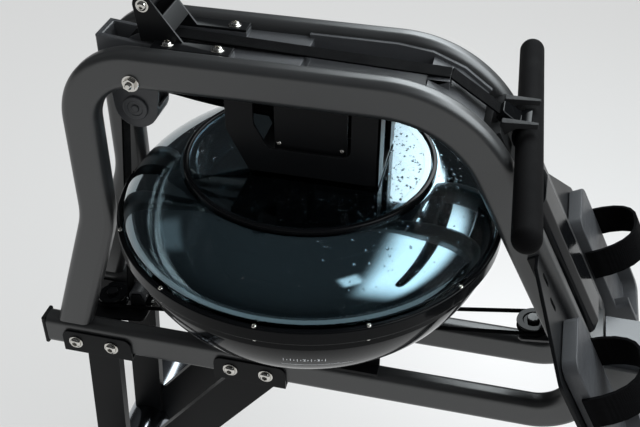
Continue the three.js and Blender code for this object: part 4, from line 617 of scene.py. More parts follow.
class ROWER_OT_finishes(RowerStep):
    """Make the shared effects and the finishes"""

    bl_idname = "rower.finishes"
    bl_label = "Finishes"

    def execute(self, context):
        self.effects = {
            "sprayed": sprayed_effect(),
            "grain": grain_effect(),
            "handling": handling_effect(),
            "weave": weave_effect(),
        }
        for key, values in OPAQUE.items():
            finishes[key] = self.opaque("webbing" if key == "braid" else key, *values)
        for key, values in CLEAR.items():
            finishes[key] = self.clear(key, *values)
        return {"FINISHED"}

    def placed(self, tree, effect, **inputs):
        made = node(tree, "Group", node_tree=self.effects[effect])
        for key, value in inputs.items():
            feed(tree, made.inputs[key], value)
        return made.outputs

    def new_finish(self, name, constants):
        finish = bpy.data.materials.new(name)
        finish.use_nodes = True
        tree = finish.node_tree
        inputs = tree.nodes["Principled BSDF"].inputs
        for key, value in constants.items():
            inputs[key].default_value = value
        return finish, tree, inputs

    def opaque(self, key, name, effect, scale, strength, depth, marked, constants):
        finish, tree, inputs = self.new_finish(name, constants)
        coated = self.placed(tree, effect, Colour=rgba(getattr(colours(), key)), Scale=scale)
        rough = self.placed(tree, "handling", Low=marked[0], High=marked[1]) if marked else coated
        relief = {"Height": coated["Height"], "Strength": strength, "Distance": depth * MM}
        feed(tree, inputs["Base Color"], coated["Colour"])
        feed(tree, inputs["Roughness"], rough["Roughness"])
        feed(tree, inputs["Normal"], node(tree, "Bump", relief).outputs["Normal"])
        return finish

    def clear(self, key, name, refraction, low, high, coat):
        """Tinted clear plastic or water."""
        constants = {"IOR": refraction, "Transmission Weight": 1, "Coat Weight": coat}
        if coat:
            constants["Specular Tint"] = rgba(colours().sky)
        finish, tree, inputs = self.new_finish(name, constants)
        inputs["Base Color"].default_value = rgba(getattr(colours(), key))
        feed(tree, inputs["Roughness"], self.placed(tree, "handling", Low=low, High=high)["Roughness"])
        return finish


# Frame

# Corners of the side tube's centre line in millimetres, from the floor run's front end: (x, z, bend radius)
TUBE_PATH = (
    (-395, -250, 0),
    (438.6, -250, 66),
    (195, 218, 155),
    (-283, 218, 81),
    (-283, -21, 150),
    (-349.1, -224.5, 0),
)
BEND_STEP = 3
PLUG = {"reach": 6.5, "lip": 0.5, "edge": 2.5}
STABILIZER = {"wall": 3, "edge": 1}


def bend_legs(path):
    """The straight ends and the bend at each corner: (start, centre, angle, end) in millimetres."""
    legs = []
    for before, here, after in zip(path, path[1:], path[2:]):
        corner = Vector(here[:2])
        back = (Vector(before[:2]) - corner).normalized()
        ahead = (Vector(after[:2]) - corner).normalized()
        half = math.acos(max(-1, min(1, back.dot(ahead)))) / 2
        reach = here[2] / math.tan(half)
        middle = corner + (back + ahead).normalized() * (here[2] / math.sin(half))
        turn = math.pi - 2 * half
        sense = 1 if back.x * ahead.y - back.y * ahead.x < 0 else -1
        legs.append((corner + back * reach, middle, turn * sense, corner + ahead * reach))
    return legs


def bent_tube(path, y):
    """A rectangular tube drawn straight and bent round each corner, with its far end cut level."""
    size = sizes()
    here = place(path[0][0], y, path[0][1])
    obj = section_face(here, size.tube_width, size.tube_height, size.tube_edge)
    bpy.ops.mesh.delete(type="ONLY_FACE")
    bpy.ops.mesh.select_all(action="SELECT")
    for leg_start, middle, turn, leg_end in bend_legs(path):
        draw_line((here, place(leg_start.x, y, leg_start.y)))
        steps = max(8, round(abs(math.degrees(turn)) / BEND_STEP))
        bpy.ops.mesh.spin(steps=steps, angle=turn, center=place(middle.x, y, middle.y), axis=(0, 1, 0))
        here = place(leg_end.x, y, leg_end.y)
    there = place(path[-1][0], y, path[-1][1])
    draw_line((here, there))
    lean = math.atan2(there.x - here.x, there.z - here.z) - math.pi
    bpy.ops.transform.rotate(value=lean, orient_axis="Y", center_override=there)
    bpy.ops.transform.resize(value=(1 / abs(math.cos(lean)), 1, 1), center_override=there)
    bpy.ops.mesh.edge_face_add()
    end_edit()
    return close_up(obj)


class ROWER_OT_side_frames(RowerStep):
    """Bend the two side tubes and plug their front ends"""

    bl_idname = "rower.side_frames"
    bl_label = "Side frames"

    def execute(self, context):
        lip = PLUG["lip"] * MM
        half = sizes().tube_height / 2 + lip
        level = place(0, 0, TUBE_PATH[0][1]).z
        for name in SIDES:
            node_name = f"side_frame_{name}"
            low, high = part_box(node_name)
            tube = shade(bent_tube(TUBE_PATH, (low.y + high.y) / 2 / MM), 30)
            fit(tube, f"bent_tube_{name}", "powder", "frame", node_name)
            plug = rounded_block(
                Vector((low.x - PLUG["reach"] * MM, low.y - lip, level - half)),
                Vector((low.x - SEAT_GAP, high.y + lip, level + half)),
                PLUG["edge"] * MM,
                4,
            )
            fit(shade(plug), f"tube_plug_{name}", "rubber", "frame")
        return {"FINISHED"}


class ROWER_OT_stabilizer(RowerStep):
    """Turn the round front stabilizer tube"""

    bl_idname = "rower.stabilizer"
    bl_label = "Front stabilizer"

    def execute(self, context):
        low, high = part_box("front_stabilizer")
        radius = (high.z - low.z) / 2
        half = (high.y - low.y) / 2
        bore = radius - STABILIZER["wall"] * MM
        edge = STABILIZER["edge"] * MM
        end = [(radius, half - edge), (radius - edge, half), (bore, half)]
        profile = [(r, -z) for r, z in reversed(end)] + end + [(bore, -half)]
        tube = turned(profile, (low + high) / 2, axis=(0, 1, 0), steps=96)
        fit(shade(tube, 30), "stabilizer_tube", "chrome", "frame", "front_stabilizer")
        return {"FINISHED"}


SADDLE = {"length": 110, "rise": 36, "wall": 4, "corner": 12, "floor": -275}
# Leg: x of its top, x of its saddle, width and depth
LEGS = {"front": (-305, -313, 50, 16), "brace": (-72, -73, 58, 12)}
LEG_EDGE = 1
CUT_LENGTH = 1000


class ROWER_OT_stands(RowerStep):
    """Weld the two front stands: saddles round the floor runs, each on a flat leg"""

    bl_idname = "rower.stands"
    bl_label = "Front stands"

    def execute(self, context):
        low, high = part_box("front_stabilizer")
        bar = middle_of("front_stabilizer")
        bar_radius = (high.z - low.z) / 2 / MM + GAP
        for name, side in SIDES.items():
            tube_low, tube_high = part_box(f"side_frame_{name}")
            centre = (tube_low.y + tube_high.y) / 2 / MM
            half = (tube_high.y - tube_low.y) / 2 / MM + GAP
            outer = centre + side * (half + SADDLE["wall"] - GAP)
            parts = []
            for leg_x, saddle_x, width, depth in LEGS.values():
                parts.append(self.saddle(saddle_x, centre, half))
                parts.append(self.leg(leg_x, width, outer, outer - side * depth, bar, bar_radius))
            fit(joined(*parts), f"front_stand_{name}_welded", "satin", "frame", f"front_stand_{name}")
        return {"FINISHED"}

    def saddle(self, x, centre, half):
        wall = SADDLE["wall"]
        reach = SADDLE["length"] / 2
        bottom = SADDLE["floor"] - GAP - wall
        top = SADDLE["floor"] + SADDLE["rise"]
        round_top = (top, SADDLE["corner"])
        outline = [(x - reach, bottom), (x + reach, bottom), (x + reach, *round_top), (x - reach, *round_top)]
        whole = raw_plate(outline, centre - half - wall, centre + half + wall)
        space_low = (x - reach * 2, centre - half, bottom + wall)
        space_high = (x + reach * 2, centre + half, top + reach)
        return eased(cut(whole, raw_block(space_low, space_high)))

    def leg(self, top_x, width, near, far, bar, bar_radius):
        top_z = SADDLE["floor"] - GAP - SADDLE["wall"] / 2
        half = width / 2 / math.cos(math.atan2(bar.x - top_x, top_z - bar.z))
        outline = [(top_x - half, top_z), (top_x + half, top_z), (bar.x + half, bar.z), (bar.x - half, bar.z)]
        seat = raw_rod((bar.x, 0, bar.z), (0, 1, 0), bar_radius, CUT_LENGTH, 96)
        return eased(cut(raw_plate(outline, near, far), seat), LEG_EDGE * MM)


HANGER = {
    "y": 56,
    "wall": 4,
    "base": 88.3,
    "front": -94,
    "rear": 100,
    "top": 192.7,
    "knee_x": -66,
    "knee_z": 146,
    "bar": 36,
    "flange": 30,
    "shaft_hole": 8.6,
    "outer_rounds": (6, 4, 3),
    "inner_round": 10,
}
# How far, in widths of the bar, the knee's inner corners lie from its outer ones
KNEE_SHARES = (0.7, 0.3)
# Painted shade: dark cheeks inside the hanger, where there is only shade, with a bridge across their tops
SHADE_CHEEK = {"y": 46, "wall": 3, "front": -34, "rear": 58, "bridge": 185, "bridge_reach": 22, "thickness": 6}


class ROWER_OT_hanger(RowerStep):
    """Weld the tank's hanger: side plates, base and flanges, and dark cheeks beside the strap drum that stand
    in for the shade inside it
    """

    bl_idname = "rower.hanger"
    bl_label = "Tank hanger"

    def execute(self, context):
        size = HANGER
        bar, base, wall, rear, top = (size[key] for key in ("bar", "base", "wall", "rear", "top"))
        turn = size["inner_round"]
        front_round, knee_round, rear_round = size["outer_rounds"]
        outline = [
            (size["front"], top),
            (size["front"], size["knee_z"], front_round),
            (size["knee_x"], base, knee_round),
            (rear, base, rear_round),
            (rear, top),
            (rear - bar, top),
            (rear - bar, base + bar, turn),
            (size["knee_x"] + bar * KNEE_SHARES[0], base + bar, turn),
            (size["front"] + bar, size["knee_z"] + bar * KNEE_SHARES[1], turn),
            (size["front"] + bar, top),
        ]
        parts = []
        for side in SIDES.values():
            outer = side * (size["y"] + wall / 2)
            parts.append(eased(raw_plate(outline, outer, outer - side * wall)))
            near, far = sorted((outer, side * (size["y"] - size["flange"])))
            parts.append(eased(raw_block((rear - wall, near, base), (rear, far, top))))
            # Painted shade: a dark cheek that stands in for the shade inside the hanger
            near, far = sorted((side * SHADE_CHEEK["y"], side * (SHADE_CHEEK["y"] + SHADE_CHEEK["wall"])))
            shade_cheek = raw_block((SHADE_CHEEK["front"], near, base + wall), (SHADE_CHEEK["rear"], far, SHADE_CHEEK["bridge"]))
            parts.append(eased(shade_cheek))
        inside = size["y"] - wall / 2
        reach, bridge = SHADE_CHEEK["bridge_reach"], SHADE_CHEEK["bridge"]
        for low, high in (
            ((size["knee_x"], -inside, base), (rear, inside, base + wall)),
            ((-reach, -inside, bridge), (reach, inside, bridge + SHADE_CHEEK["thickness"])),
        ):
            hole = raw_rod((0, 0, low[2]), UP, size["shaft_hole"], 40)
            parts.append(eased(cut(raw_block(low, high), hole)))
        fit(joined(*parts), "tank_hanger_welded", "satin", "frame", "tank_hanger")
        return {"FINISHED"}


# Pulley housing: the sloping collar round its mouth, the mouth, and the disc on each side of its bulb
COLLAR = ((-269.3, 236.4), (-269.3, 198), (-190.6, 196), (-190.6, 228.4))
COLLAR_HALF = 24.3
COLLAR_EDGE = 2.6
MOUTH = ((-261, -16.8, 150), (-180, 16.8, 260))
DISC_Y = 21.2
DISC = (
    (0, 0),
    (17, 0),
    *arc_points((15.5, 2), 1.5, 0, 90, 4),
    (11, 3.5),
    (10, 2.4),
    (5.5, 2.4),
    *arc_points((4, 3.4), 1.5, 0, 90, 3),
    (0, 4.9),
)


class ROWER_OT_housing(RowerStep):
    """Mould the pulley housing with its thick rim, and press a disc on each side of its bulb"""

    bl_idname = "rower.housing"
    bl_label = "Pulley housing"

    def execute(self, context):
        body = finished_copy("pulley_housing")
        collar = cut(raw_plate(COLLAR, -COLLAR_HALF, COLLAR_HALF), raw_block(*MOUTH))
        parts = [body, eased(collar, COLLAR_EDGE * MM, 4)]
        middle = middle_of("lower_pulley")
        for side in SIDES.values():
            centre = place(middle.x, side * DISC_Y, middle.z)
            parts.append(shade(turned(millimetres(DISC), centre, axis=(0, side, 0), steps=48)))
        fit(joined(*parts), "pulley_housing_moulded", "shell", "frame", "pulley_housing")
        return {"FINISHED"}


# Tank

# Sizes and (radius, height) profiles in millimetres about the tank's axis and joint
SHELL_STEPS = 20
BOWL = {"wide": 250, "wide_z": -23, "narrow": 140, "narrow_z": -120, "spread_power": 0.7, "rise_power": 1.8}
DOME = {"wide": 249, "wide_z": 16, "narrow": 168, "narrow_z": 80, "spread_power": 1.75, "rise_power": 1.2}
OPENING = 151
FLANGE = {"radius": 253, "thickness": 6}
WATER = {"clearance": 0.5, "swept": 140, "swept_floor": -96.5, "swept_top": -22}
RING = (
    (250.5, 10.5),
    (250.5, 6.4),
    (253.4, 6.4),
    (253.4, -6.4),
    (250.4, -6.4),
    (250.4, -8),
    (256, -8),
    *arc_points((256, -6), 2, -90, 0, 4),
    *arc_points((255.5, 9.5), 2.5, 0, 90, 5),
    *arc_points((252, 10.5), 1.5, 90, 180, 4),
)
GASKET = (
    (158.5, 80.4),
    (165, 80.4),
    *arc_points((163.2, 84.6), 1.8, 0, 90, 5),
    *arc_points((160.3, 84.6), 1.8, 90, 180, 5),
    (158.5, 80.4),
)
LID_TOP = 84.3
LID = (
    (8.5, 80.3),
    (146, 80.3),
    (146, 28.3),
    (149, 28.3),
    (149, 80.3),
    (157, 80.3),
    *arc_points((157, 81.3), 1, -90, 0, 3),
    *arc_points((156.5, 82.8), 1.5, 0, 90, 4),
    (46, LID_TOP),
    *arc_points((46, 86.3), 2, 270, 180, 4),
    *arc_points((42, 86), 2, 0, 90, 4),
    (8.5, 88),
    (8.5, 80.3),
)
FILL_HOLE = {"radius": 14.5, "length": 60}


def shell_curve(shell, inset, steps=SHELL_STEPS):
    """The quarter of a rounded curve that a tank shell follows, as (radius, height) pairs in millimetres."""
    wide, narrow = shell["wide"] - inset, shell["narrow"]
    low = shell["wide_z"]
    reach = shell["narrow_z"] - math.copysign(1, shell["narrow_z"]) * inset - low
    points = []
    for i in range(steps + 1):
        across, up = direction(math.pi / 2 * i / steps)
        share = max(0.0, across) ** shell["spread_power"]
        points.append((narrow + (wide - narrow) * share, low + reach * up ** shell["rise_power"]))
    return points


def tank_piece(profile, name, finish, node_name, slot=None):
    """A turned piece of the tank, from a profile in millimetres about the tank's joint."""
    obj = turned(millimetres(profile), place(0, 0, 0), steps=sizes().turned_steps)
    return fit(shade(obj), name, finish, body_of(node_name), node_name, slot=slot)


class ROWER_OT_tank(RowerStep):
    """Turn the bowl, the dome, the clamp ring, the lid's gasket and the water"""

    bl_idname = "rower.tank"
    bl_label = "Tank"

    def execute(self, context):
        wall = sizes().tank_wall / MM
        tank_piece(self.shell(BOWL, -1, 0, wall), "bowl_shell", "gloss", "tank_bowl")
        tank_piece(self.shell(DOME, 1, OPENING, wall), "dome_shell", "smoke", "tank_dome")
        tank_piece(RING, "clamp_ring", "gloss", "rim_ring")
        tank_piece(GASKET, "gasket_ring", "gloss", "lid_gasket", slot="black_rubber")
        inset = wall + WATER["clearance"]
        water = [
            (0, WATER["swept_floor"]),
            (WATER["swept"], WATER["swept_floor"]),
            (WATER["swept"], WATER["swept_top"]),
            (BOWL["wide"] - inset, WATER["swept_top"]),
            *shell_curve(BOWL, inset),
            (0, BOWL["narrow_z"] + inset),
        ]
        tank_piece(water, "tank_water_body", "water", "water")
        return {"FINISHED"}

    def shell(self, shell, way, opening, wall):
        """The profile of the bowl, way -1, or the dome, way 1, with its flange at the joint."""
        radius, thickness = FLANGE["radius"], FLANGE["thickness"]
        start = (shell["wide"] - wall, way * GAP)
        return [
            start,
            (radius, way * GAP),
            (radius, way * thickness),
            (shell["wide"], way * thickness),
            *shell_curve(shell, 0),
            (opening, shell["narrow_z"]),
            (opening, shell["narrow_z"] - way * wall),
            *reversed(shell_curve(shell, wall)),
            start,
        ]


PRINT_RELIEF = 0.06
# Marks on the bowl in millimetres, with half of each width and length
INK = {"depth": 0.12, "edge": 0.05, "tick": 0.35, "short": 2, "long": 4, "digit": 9, "line": (1.6, 0.4)}
# Where they stand: steps down the bowl's curve, and degrees round the tank
SCALE = {"steps": 80, "row": 26, "start": -84, "ticks": 13}
SCALE_LINE = {"row": 34, "start": -84.5, "marks": 42}


class ROWER_OT_level_scale(RowerStep):
    """Print a plain numbered scale on the bowl, below the clamp ring"""

    bl_idname = "rower.level_scale"
    bl_label = "Level scale"

    def execute(self, context):
        start, row = SCALE["start"], SCALE["row"]
        marks = []
        for half, is_long in ((INK["short"], False), (INK["long"], True)):
            places = [self.spot(start + i, row) for i in range(SCALE["ticks"]) if (i % 4 == 0) == is_long]
            marks.append(self.printed(INK["tick"], half, places))
        for i in range(3):
            point, out = self.spot(start + 2 + 4 * i, row)
            marks.append(lettered(str(i + 1), INK["digit"], Matrix.Translation(point) @ turned_to(out)))
        line = [self.spot(SCALE_LINE["start"] + i / 2, SCALE_LINE["row"]) for i in range(SCALE_LINE["marks"])]
        marks.append(self.printed(*INK["line"], line))
        fit(joined(*marks), "level_scale", "ink", body_of("tank_bowl"))
        return {"FINISHED"}

    def spot(self, azimuth, step):
        """A point on the bowl, and the direction in which the bowl faces there."""
        curve = shell_curve(BOWL, -INK["edge"], SCALE["steps"])
        (radius, height), (next_radius, next_height) = curve[step : step + 2]
        across = Vector((*direction(math.radians(azimuth)), 0))
        out = across * (height - next_height) + UP * (next_radius - radius)
        return place(across.x * radius, across.y * radius, height), out.normalized()

    def printed(self, across, along, places):
        """Thin marks with these half sizes, one at each place."""
        high = Vector((across, along, INK["depth"])) * MM
        mark = rounded_block(Vector((-high.x, -high.y, 0)), high, INK["edge"] * MM, 1)
        copies = set_copies(mark, places)
        remove(mark)
        return copies


class ROWER_OT_lid(RowerStep):
    """Turn the lid with its skirt and cut the filling hole"""

    bl_idname = "rower.lid"
    bl_label = "Tank lid"

    def execute(self, context):
        lid = turned(millimetres(LID), place(0, 0, 0), steps=sizes().turned_steps)
        cut(lid, raw_rod(middle_of("fill_plug"), UP, FILL_HOLE["radius"], FILL_HOLE["length"], 48))
        fit(shade(lid), "lid_shell", "lid", "frame", "tank_lid")
        return {"FINISHED"}


DROPS = {
    "seed": 11,
    "lid_share": 0.72,
    "inner": 50,
    "outer": 150,
    "lift": 0.1,
    "wet_side": -20,
    "least": 0.08,
    "widths": (0.5, 0.7, 0.9, 1.1, 1.4, 1.8),
    "stretch": (0.8, 1.35),
    "flatness": 0.55,
    "cut": -0.25,
    "curve_steps": 60,
    "first_step": 20,
}


class ROWER_OT_drops(RowerStep):
    """Scatter water drops over the lid and the dome's shoulder, most of them on the wet side"""

    bl_idname = "rower.drops"
    bl_label = "Water drops"

    def execute(self, context):
        choose()
        bpy.ops.mesh.primitive_ico_sphere_add(subdivisions=2, radius=1)
        seed = bpy.context.object
        start_edit(seed)
        bpy.ops.mesh.bisect(plane_co=UP * DROPS["cut"], plane_no=UP, clear_inner=True, use_fill=True)
        end_edit()
        base = [v.co.copy() for v in seed.data.vertices]
        verts, faces = [], []
        for point, normal, width, stretch in self.scattered():
            turn = normal.to_track_quat("Z", "Y").to_matrix()
            first = len(verts)
            shape = Vector((width, width * stretch, width * DROPS["flatness"]))
            verts += [point + turn @ (co * shape) for co in base]
            faces += [[first + i for i in polygon.vertices] for polygon in seed.data.polygons]
        seed.data.clear_geometry()
        seed.data.from_pydata(verts, [], faces)
        seed.data.update()
        fit(shade(seed, 60, weighted=False), "lid_drops", "drops", "frame")
        return {"FINISHED"}

    def scattered(self):
        """Each drop's place, direction, width and stretch."""
        chance = random.Random(DROPS["seed"])
        shoulder = shell_curve(DOME, 0, DROPS["curve_steps"])
        drops = []
        while len(drops) < sizes().drop_count:
            angle = chance.uniform(-math.pi, math.pi)
            if chance.random() < DROPS["lid_share"]:
                radius = math.sqrt(chance.uniform(DROPS["inner"] ** 2, DROPS["outer"] ** 2))
                height = LID_TOP
                normal = UP
            else:
                index = chance.randrange(DROPS["first_step"], len(shoulder) - 2)
                (radius, height), (nearer, lower) = shoulder[index : index + 2]
                across, along = direction(angle)
                normal = Vector(((lower - height) * across, (lower - height) * along, radius - nearer))
            point = place(radius * math.cos(angle), radius * math.sin(angle), height + DROPS["lift"])
            wet = 0.5 + 0.5 * math.cos(angle - math.radians(DROPS["wet_side"]))
            if chance.random() > DROPS["least"] + (1 - DROPS["least"]) * wet**2:
                continue
            width = chance.choice(DROPS["widths"]) * MM
            drops.append((point, normal.normalized(), width, chance.uniform(*DROPS["stretch"])))
        return drops


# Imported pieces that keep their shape, by finish. A star stands for left and right
KEPT_PIECES = {
    "powder": "rear_mount rear_leg",
    "satin": "foot_plate_* tank_cradle front_cord_bracket display_bracket display_arm seat_carriage",
    "gloss": "impeller strap_drum handle_neck foot_cover",
    "moulded": "top_tray console foot_pad_* upper_pulley lower_pulley low_roller",
    "rubber": "front_foot_cap_* rear_foot_cap_* transport_wheel_* fill_plug reset_button display_button "
    "rail_end_cap seat_roller_front seat_roller_rear",
    "steel": "bearing_housing bungee_clip",
    "rail": "seat_rail",
    "webbing": "drive_strap return_strap foot_strap_*",
}


class ROWER_OT_kept_pieces(RowerStep):
    """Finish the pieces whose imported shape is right"""

    bl_idname = "rower.kept_pieces"
    bl_label = "Plates and mouldings"

    def execute(self, context):
        for finish, names in KEPT_PIECES.items():
            for name in self.both(names.split()):
                edge = 0 if name.startswith("foot_strap") else None
                fit(finished_copy(name, edge=edge), f"{name}_piece", finish, body_of(name), name)
        return {"FINISHED"}

    def both(self, names):
        """The names, with each starred one given for both sides."""
        for name in names:
            for side in SIDES if "*" in name else ("",):
                yield name.replace("*", side)


SCREEN = {"tilt": 28, "rise": 14, "width": 134, "height": 62, "thickness": 0.8, "edge": 0.3, "proud": 0.05}
# Plain readings: text, place across and up on the pane, and height of the digits
READINGS = (
    ("00:00", -30, 15, 21),
    ("000", 36, 15, 21),
    ("0", -36, -14, 12),
    ("000", 4, -14, 12),
    ("00", 42, -14, 12),
)


class ROWER_OT_screen(RowerStep):
    """Set a dark screen with plain digits on the console's face"""

    bl_idname = "rower.screen"
    bl_label = "Console screen"

    def execute(self, context):
        body = body_of("console")
        across, out = direction(math.radians(SCREEN["tilt"]))
        out, up = Vector((across, 0, out)), Vector((-out, 0, across))
        case = frame["nodes"]["console"]
        corners = [case.matrix_world @ v.co for v in case.data.vertices]
        heights = [corner.dot(up) for corner in corners]
        middle = (min(heights) + max(heights)) / 2 + SCREEN["rise"] * MM
        centre = out * max(corner.dot(out) for corner in corners) + up * middle
        turn = Matrix((Vector((0, 1, 0)), up, out)).transposed()
        half = Vector((SCREEN["width"] / 2, SCREEN["height"] / 2, 0)) * MM
        pane = rounded_block(-half, half + UP * (SCREEN["thickness"] * MM), SCREEN["edge"] * MM, 2)
        moved(pane, Matrix.Translation(centre) @ turn.to_4x4())
        fit(shade(pane), "console_pane", "glass", body)
        shown = []
        for reading, x, y, size in READINGS:
            point = centre + turn @ (Vector((x, y, SCREEN["thickness"] + SCREEN["proud"])) * MM)
            shown.append(lettered(reading, size, Matrix.Translation(point) @ turn.to_4x4()))
        fit(joined(*shown), "console_readings", "digits", body)
        return {"FINISHED"}


STRAP_CUTS = 3


class ROWER_OT_pull_strap(RowerStep):
    """Finish the stretch of strap that runs out with the handle"""

    bl_idname = "rower.pull_strap"
    bl_label = "Pull strap"

    def execute(self, context):
        strap = finished_copy("pull_strap", edge=0)
        start_edit(strap)
        bpy.ops.mesh.subdivide(number_cuts=STRAP_CUTS)
        end_edit()
        dress(strap, "pull_strap_band", "webbing")
        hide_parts("pull_strap")
        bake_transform(strap)
        return {"FINISHED"}


# Bolts

# Shares of a bolt's or a nut's own sizes
LIP_SHARE = 0.12
SOCKET_SHARE = 0.5
SOCKET_RISE_SHARE = 0.75
STUD_SHARE = 0.55
STUD_RISE_SHARE = 1.7
STUD_TIP_SHARES = (0.6, 0.4)
SMALL_SHARES = {"head": 0.72, "height": 0.8, "washer": 0.75}
HOLE_SHARE = 0.5
CROWN_POWER = 0.8
BOLT_STEPS = 36
SMALL_WASHER_HEIGHT = 1


def washer_ring(inner, washer, height):
    edge = height / 4
    return [(inner, 0), (washer, 0), (washer, height - edge), (washer - edge, height), (inner, height)]


def bolt_template(head, height, washer, washer_height):
    """A button head with a six-sided socket on a washer, standing at the origin along +Z."""
    lip = LIP_SHARE * height
    crown = []
    for degrees in range(0, 61, 10):
        across, up = direction(math.radians(degrees))
        crown.append((head * across**CROWN_POWER, washer_height + lip + (height - lip) * up))
    bolt = turned([(0, washer_height), (head, washer_height), *crown, (0, crown[-1][1])], steps=BOLT_STEPS)
    socket = Matrix.Translation(UP * (washer_height + height * SOCKET_RISE_SHARE))
    cut(bolt, prism(head * SOCKET_SHARE, height, 6, socket))
    if washer:
        ring = washer_ring(head * HOLE_SHARE, washer, washer_height)
        bolt = joined(bolt, turned([*ring, ring[0]], steps=BOLT_STEPS))
    return shade(bolt)


def nut_template(head, height, washer, washer_height):
    """A six-sided nut on a washer with a stud's rounded end standing out of it, at the origin along +Z."""
    nut = prism(head, height, 6, Matrix.Translation(UP * (washer_height + height / 2)))
    apply_modifier(nut, "BEVEL", width=height * LIP_SHARE, segments=2)
    stud = head * STUD_SHARE
    tip = washer_height + height * STUD_RISE_SHARE
    tip_radius, tip_drop = (stud * share for share in STUD_TIP_SHARES)
    end = [(0, washer_height), (stud, washer_height), (stud, tip - tip_drop), (tip_radius, tip), (0, tip)]
    rings = [turned(ring, steps=BOLT_STEPS) for ring in (washer_ring(0, washer, washer_height), end)]
    return shade(joined(nut, *rings))


# Places in millimetres from the tank's axis and joint
SADDLE_BOLTS = {"x": (-346.5, -289.3, -102, -48), "z": -258}
AXLE = (-204, 204)
BRACKET_BOLTS = {"x": (-170, -106), "y": 35, "z": 239.3}
DISPLAY_PIVOT = (-200, 28, 283)
RIM_SCREWS = {"count": 12, "turn": -1, "above": (254.2, 12.1), "below": (253.4, -8.2)}
BASE_SCREWS = {"x": (-45, 47), "y": 38, "z": 92.4}
SHADE_CHEEK_SCREWS = {"x": (-28, 52), "z": 128.5}
HOUSING_SCREW = (-250, 24.5, 205)
SCREW = {"head": 3.2, "height": 2.2, "base": 0.2}


def both_sides(x, y, z):
    """The same place on either side, each facing outwards."""
    return [(place(x, side * y, z), Vector((0, side, 0))) for side in SIDES.values()]


class ROWER_OT_bolts(RowerStep):
    """Set the main bolts and the small screws"""

    bl_idname = "rower.bolts"
    bl_label = "Bolts and screws"

    def execute(self, context):
        size = sizes()
        main_sizes = (size.head_radius, size.head_height, size.washer_radius, size.washer_height)
        main = bolt_template(*main_sizes)
        nut = nut_template(*main_sizes)
        small = bolt_template(
            size.head_radius * SMALL_SHARES["head"],
            size.head_height * SMALL_SHARES["height"],
            size.washer_radius * SMALL_SHARES["washer"],
            SMALL_WASHER_HEIGHT * MM,
        )
        screw = bolt_template(SCREW["head"] * MM, SCREW["height"] * MM, 0, SCREW["base"] * MM)
        stand_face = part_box("front_stand_right")[1].y / MM + GAP
        saddles = [spot for x in SADDLE_BOLTS["x"] for spot in both_sides(x, stand_face, SADDLE_BOLTS["z"])]
        self.set_bolts(main, saddles, "saddle_bolts")
        tube_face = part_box("side_frame_right")[1].y / MM + GAP
        self.set_bolts(nut, both_sides(AXLE[0], tube_face, AXLE[1]), "pulley_axle_ends", "pulley_axle_bolt")
        feet = self.level_places(BRACKET_BOLTS) + both_sides(*DISPLAY_PIVOT)
        self.set_bolts(small, feet, "bracket_bolts")
        rim = []
        for i in range(RIM_SCREWS["count"]):
            across, along = direction(math.radians(360 / RIM_SCREWS["count"] * i + RIM_SCREWS["turn"]))
            for (radius, z), facing in ((RIM_SCREWS["above"], UP), (RIM_SCREWS["below"], -UP)):
                rim.append((place(radius * across, radius * along, z), facing))
        self.set_bolts(screw, rim, "rim_screws")
        base = self.level_places(BASE_SCREWS) + both_sides(*HOUSING_SCREW)
        # Screws on the dark cheeks that stand in for the hanger's shade
        for x in SHADE_CHEEK_SCREWS["x"]:
            base += both_sides(x, SHADE_CHEEK["y"] + SHADE_CHEEK["wall"], SHADE_CHEEK_SCREWS["z"])
        self.set_bolts(screw, base, "hanger_screws")
        remove(main, nut, small, screw)
        return {"FINISHED"}

    def level_places(self, spots):
        """Places on a level face, at each x on either side."""
        return [(place(x, side * spots["y"], spots["z"]), UP) for x in spots["x"] for side in SIDES.values()]

    def set_bolts(self, template, places, name, *nodes):
        fit(set_copies(template, places), name, "steel", "frame", *nodes)


# Handle and cords

FINGERS = {"reach": 14, "edge": 2.2, "narrowing": (1, 0.5, 0.8)}


class ROWER_OT_handle(RowerStep):
    """Turn the foam sleeve of the handle bar"""

    bl_idname = "rower.handle"
    bl_label = "Handle bar"

    def execute(self, context):
        low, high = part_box("handle_bar")
        radius = (high.x - low.x) / 2
        half = (high.y - low.y) / 2
        cap = [(r, half - radius + z) for r, z in arc_points((0, 0), radius, 0, 90, 12)]
        profile = [(r, -z) for r, z in reversed(cap)] + cap
        across, along = direction(math.radians(sizes().handle_skew))
        bar = turned(profile, (low + high) / 2, axis=(-along, across, 0))
        fit(shade(bar, 50, weighted=False), "handle_sleeve", "foam", "handle", "handle_bar")
        return {"FINISHED"}


class ROWER_OT_handle_rest(RowerStep):
    """Finish the handle rest, with the two fingers drawn in towards their tips"""

    bl_idname = "rower.handle_rest"
    bl_label = "Handle rest"

    def execute(self, context):
        rest = merged_copy("handle_rest")
        tip_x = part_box("handle_rest")[1].x - FINGERS["reach"] * MM
        for side in SIDES.values():
            start_edit(rest, "DESELECT")
            end_edit()
            tips = [v for v in rest.data.vertices if v.co.x > tip_x and v.co.y * side > 0]
            middle = sum((v.co for v in tips), Vector()) / len(tips)
            for vertex in tips:
                vertex.select = True
            bpy.ops.object.mode_set(mode="EDIT")
            bpy.ops.transform.resize(value=FINGERS["narrowing"], center_override=middle)
            end_edit()
        eased(rest, FINGERS["edge"] * MM, 4, 35)
        fit(rest, "handle_rest_moulded", "rubber", "frame", "handle_rest", slot="gloss_shell")
        return {"FINISHED"}


CORD_SLOPE = math.radians(7.6)
FRONT_WHEEL = (-316, -229)
WHEELS = {"front": 0, "rear": 640}
# A grooved wheel's section: (radius, height) in millimetres about its sloping axis
WHEEL = (
    (5.6, -6.4),
    (23, -6.4),
    (23.5, -4.6),
    *arc_points((24, 0), 4, 245, 115, 8),
    (23.5, 4.6),
    (23, 6.4),
    (15, 6.4),
    (13.5, 4.5),
    (9, 4.5),
    (8, 6.4),
    (5.6, 6.4),
    (5.6, -6.4),
)


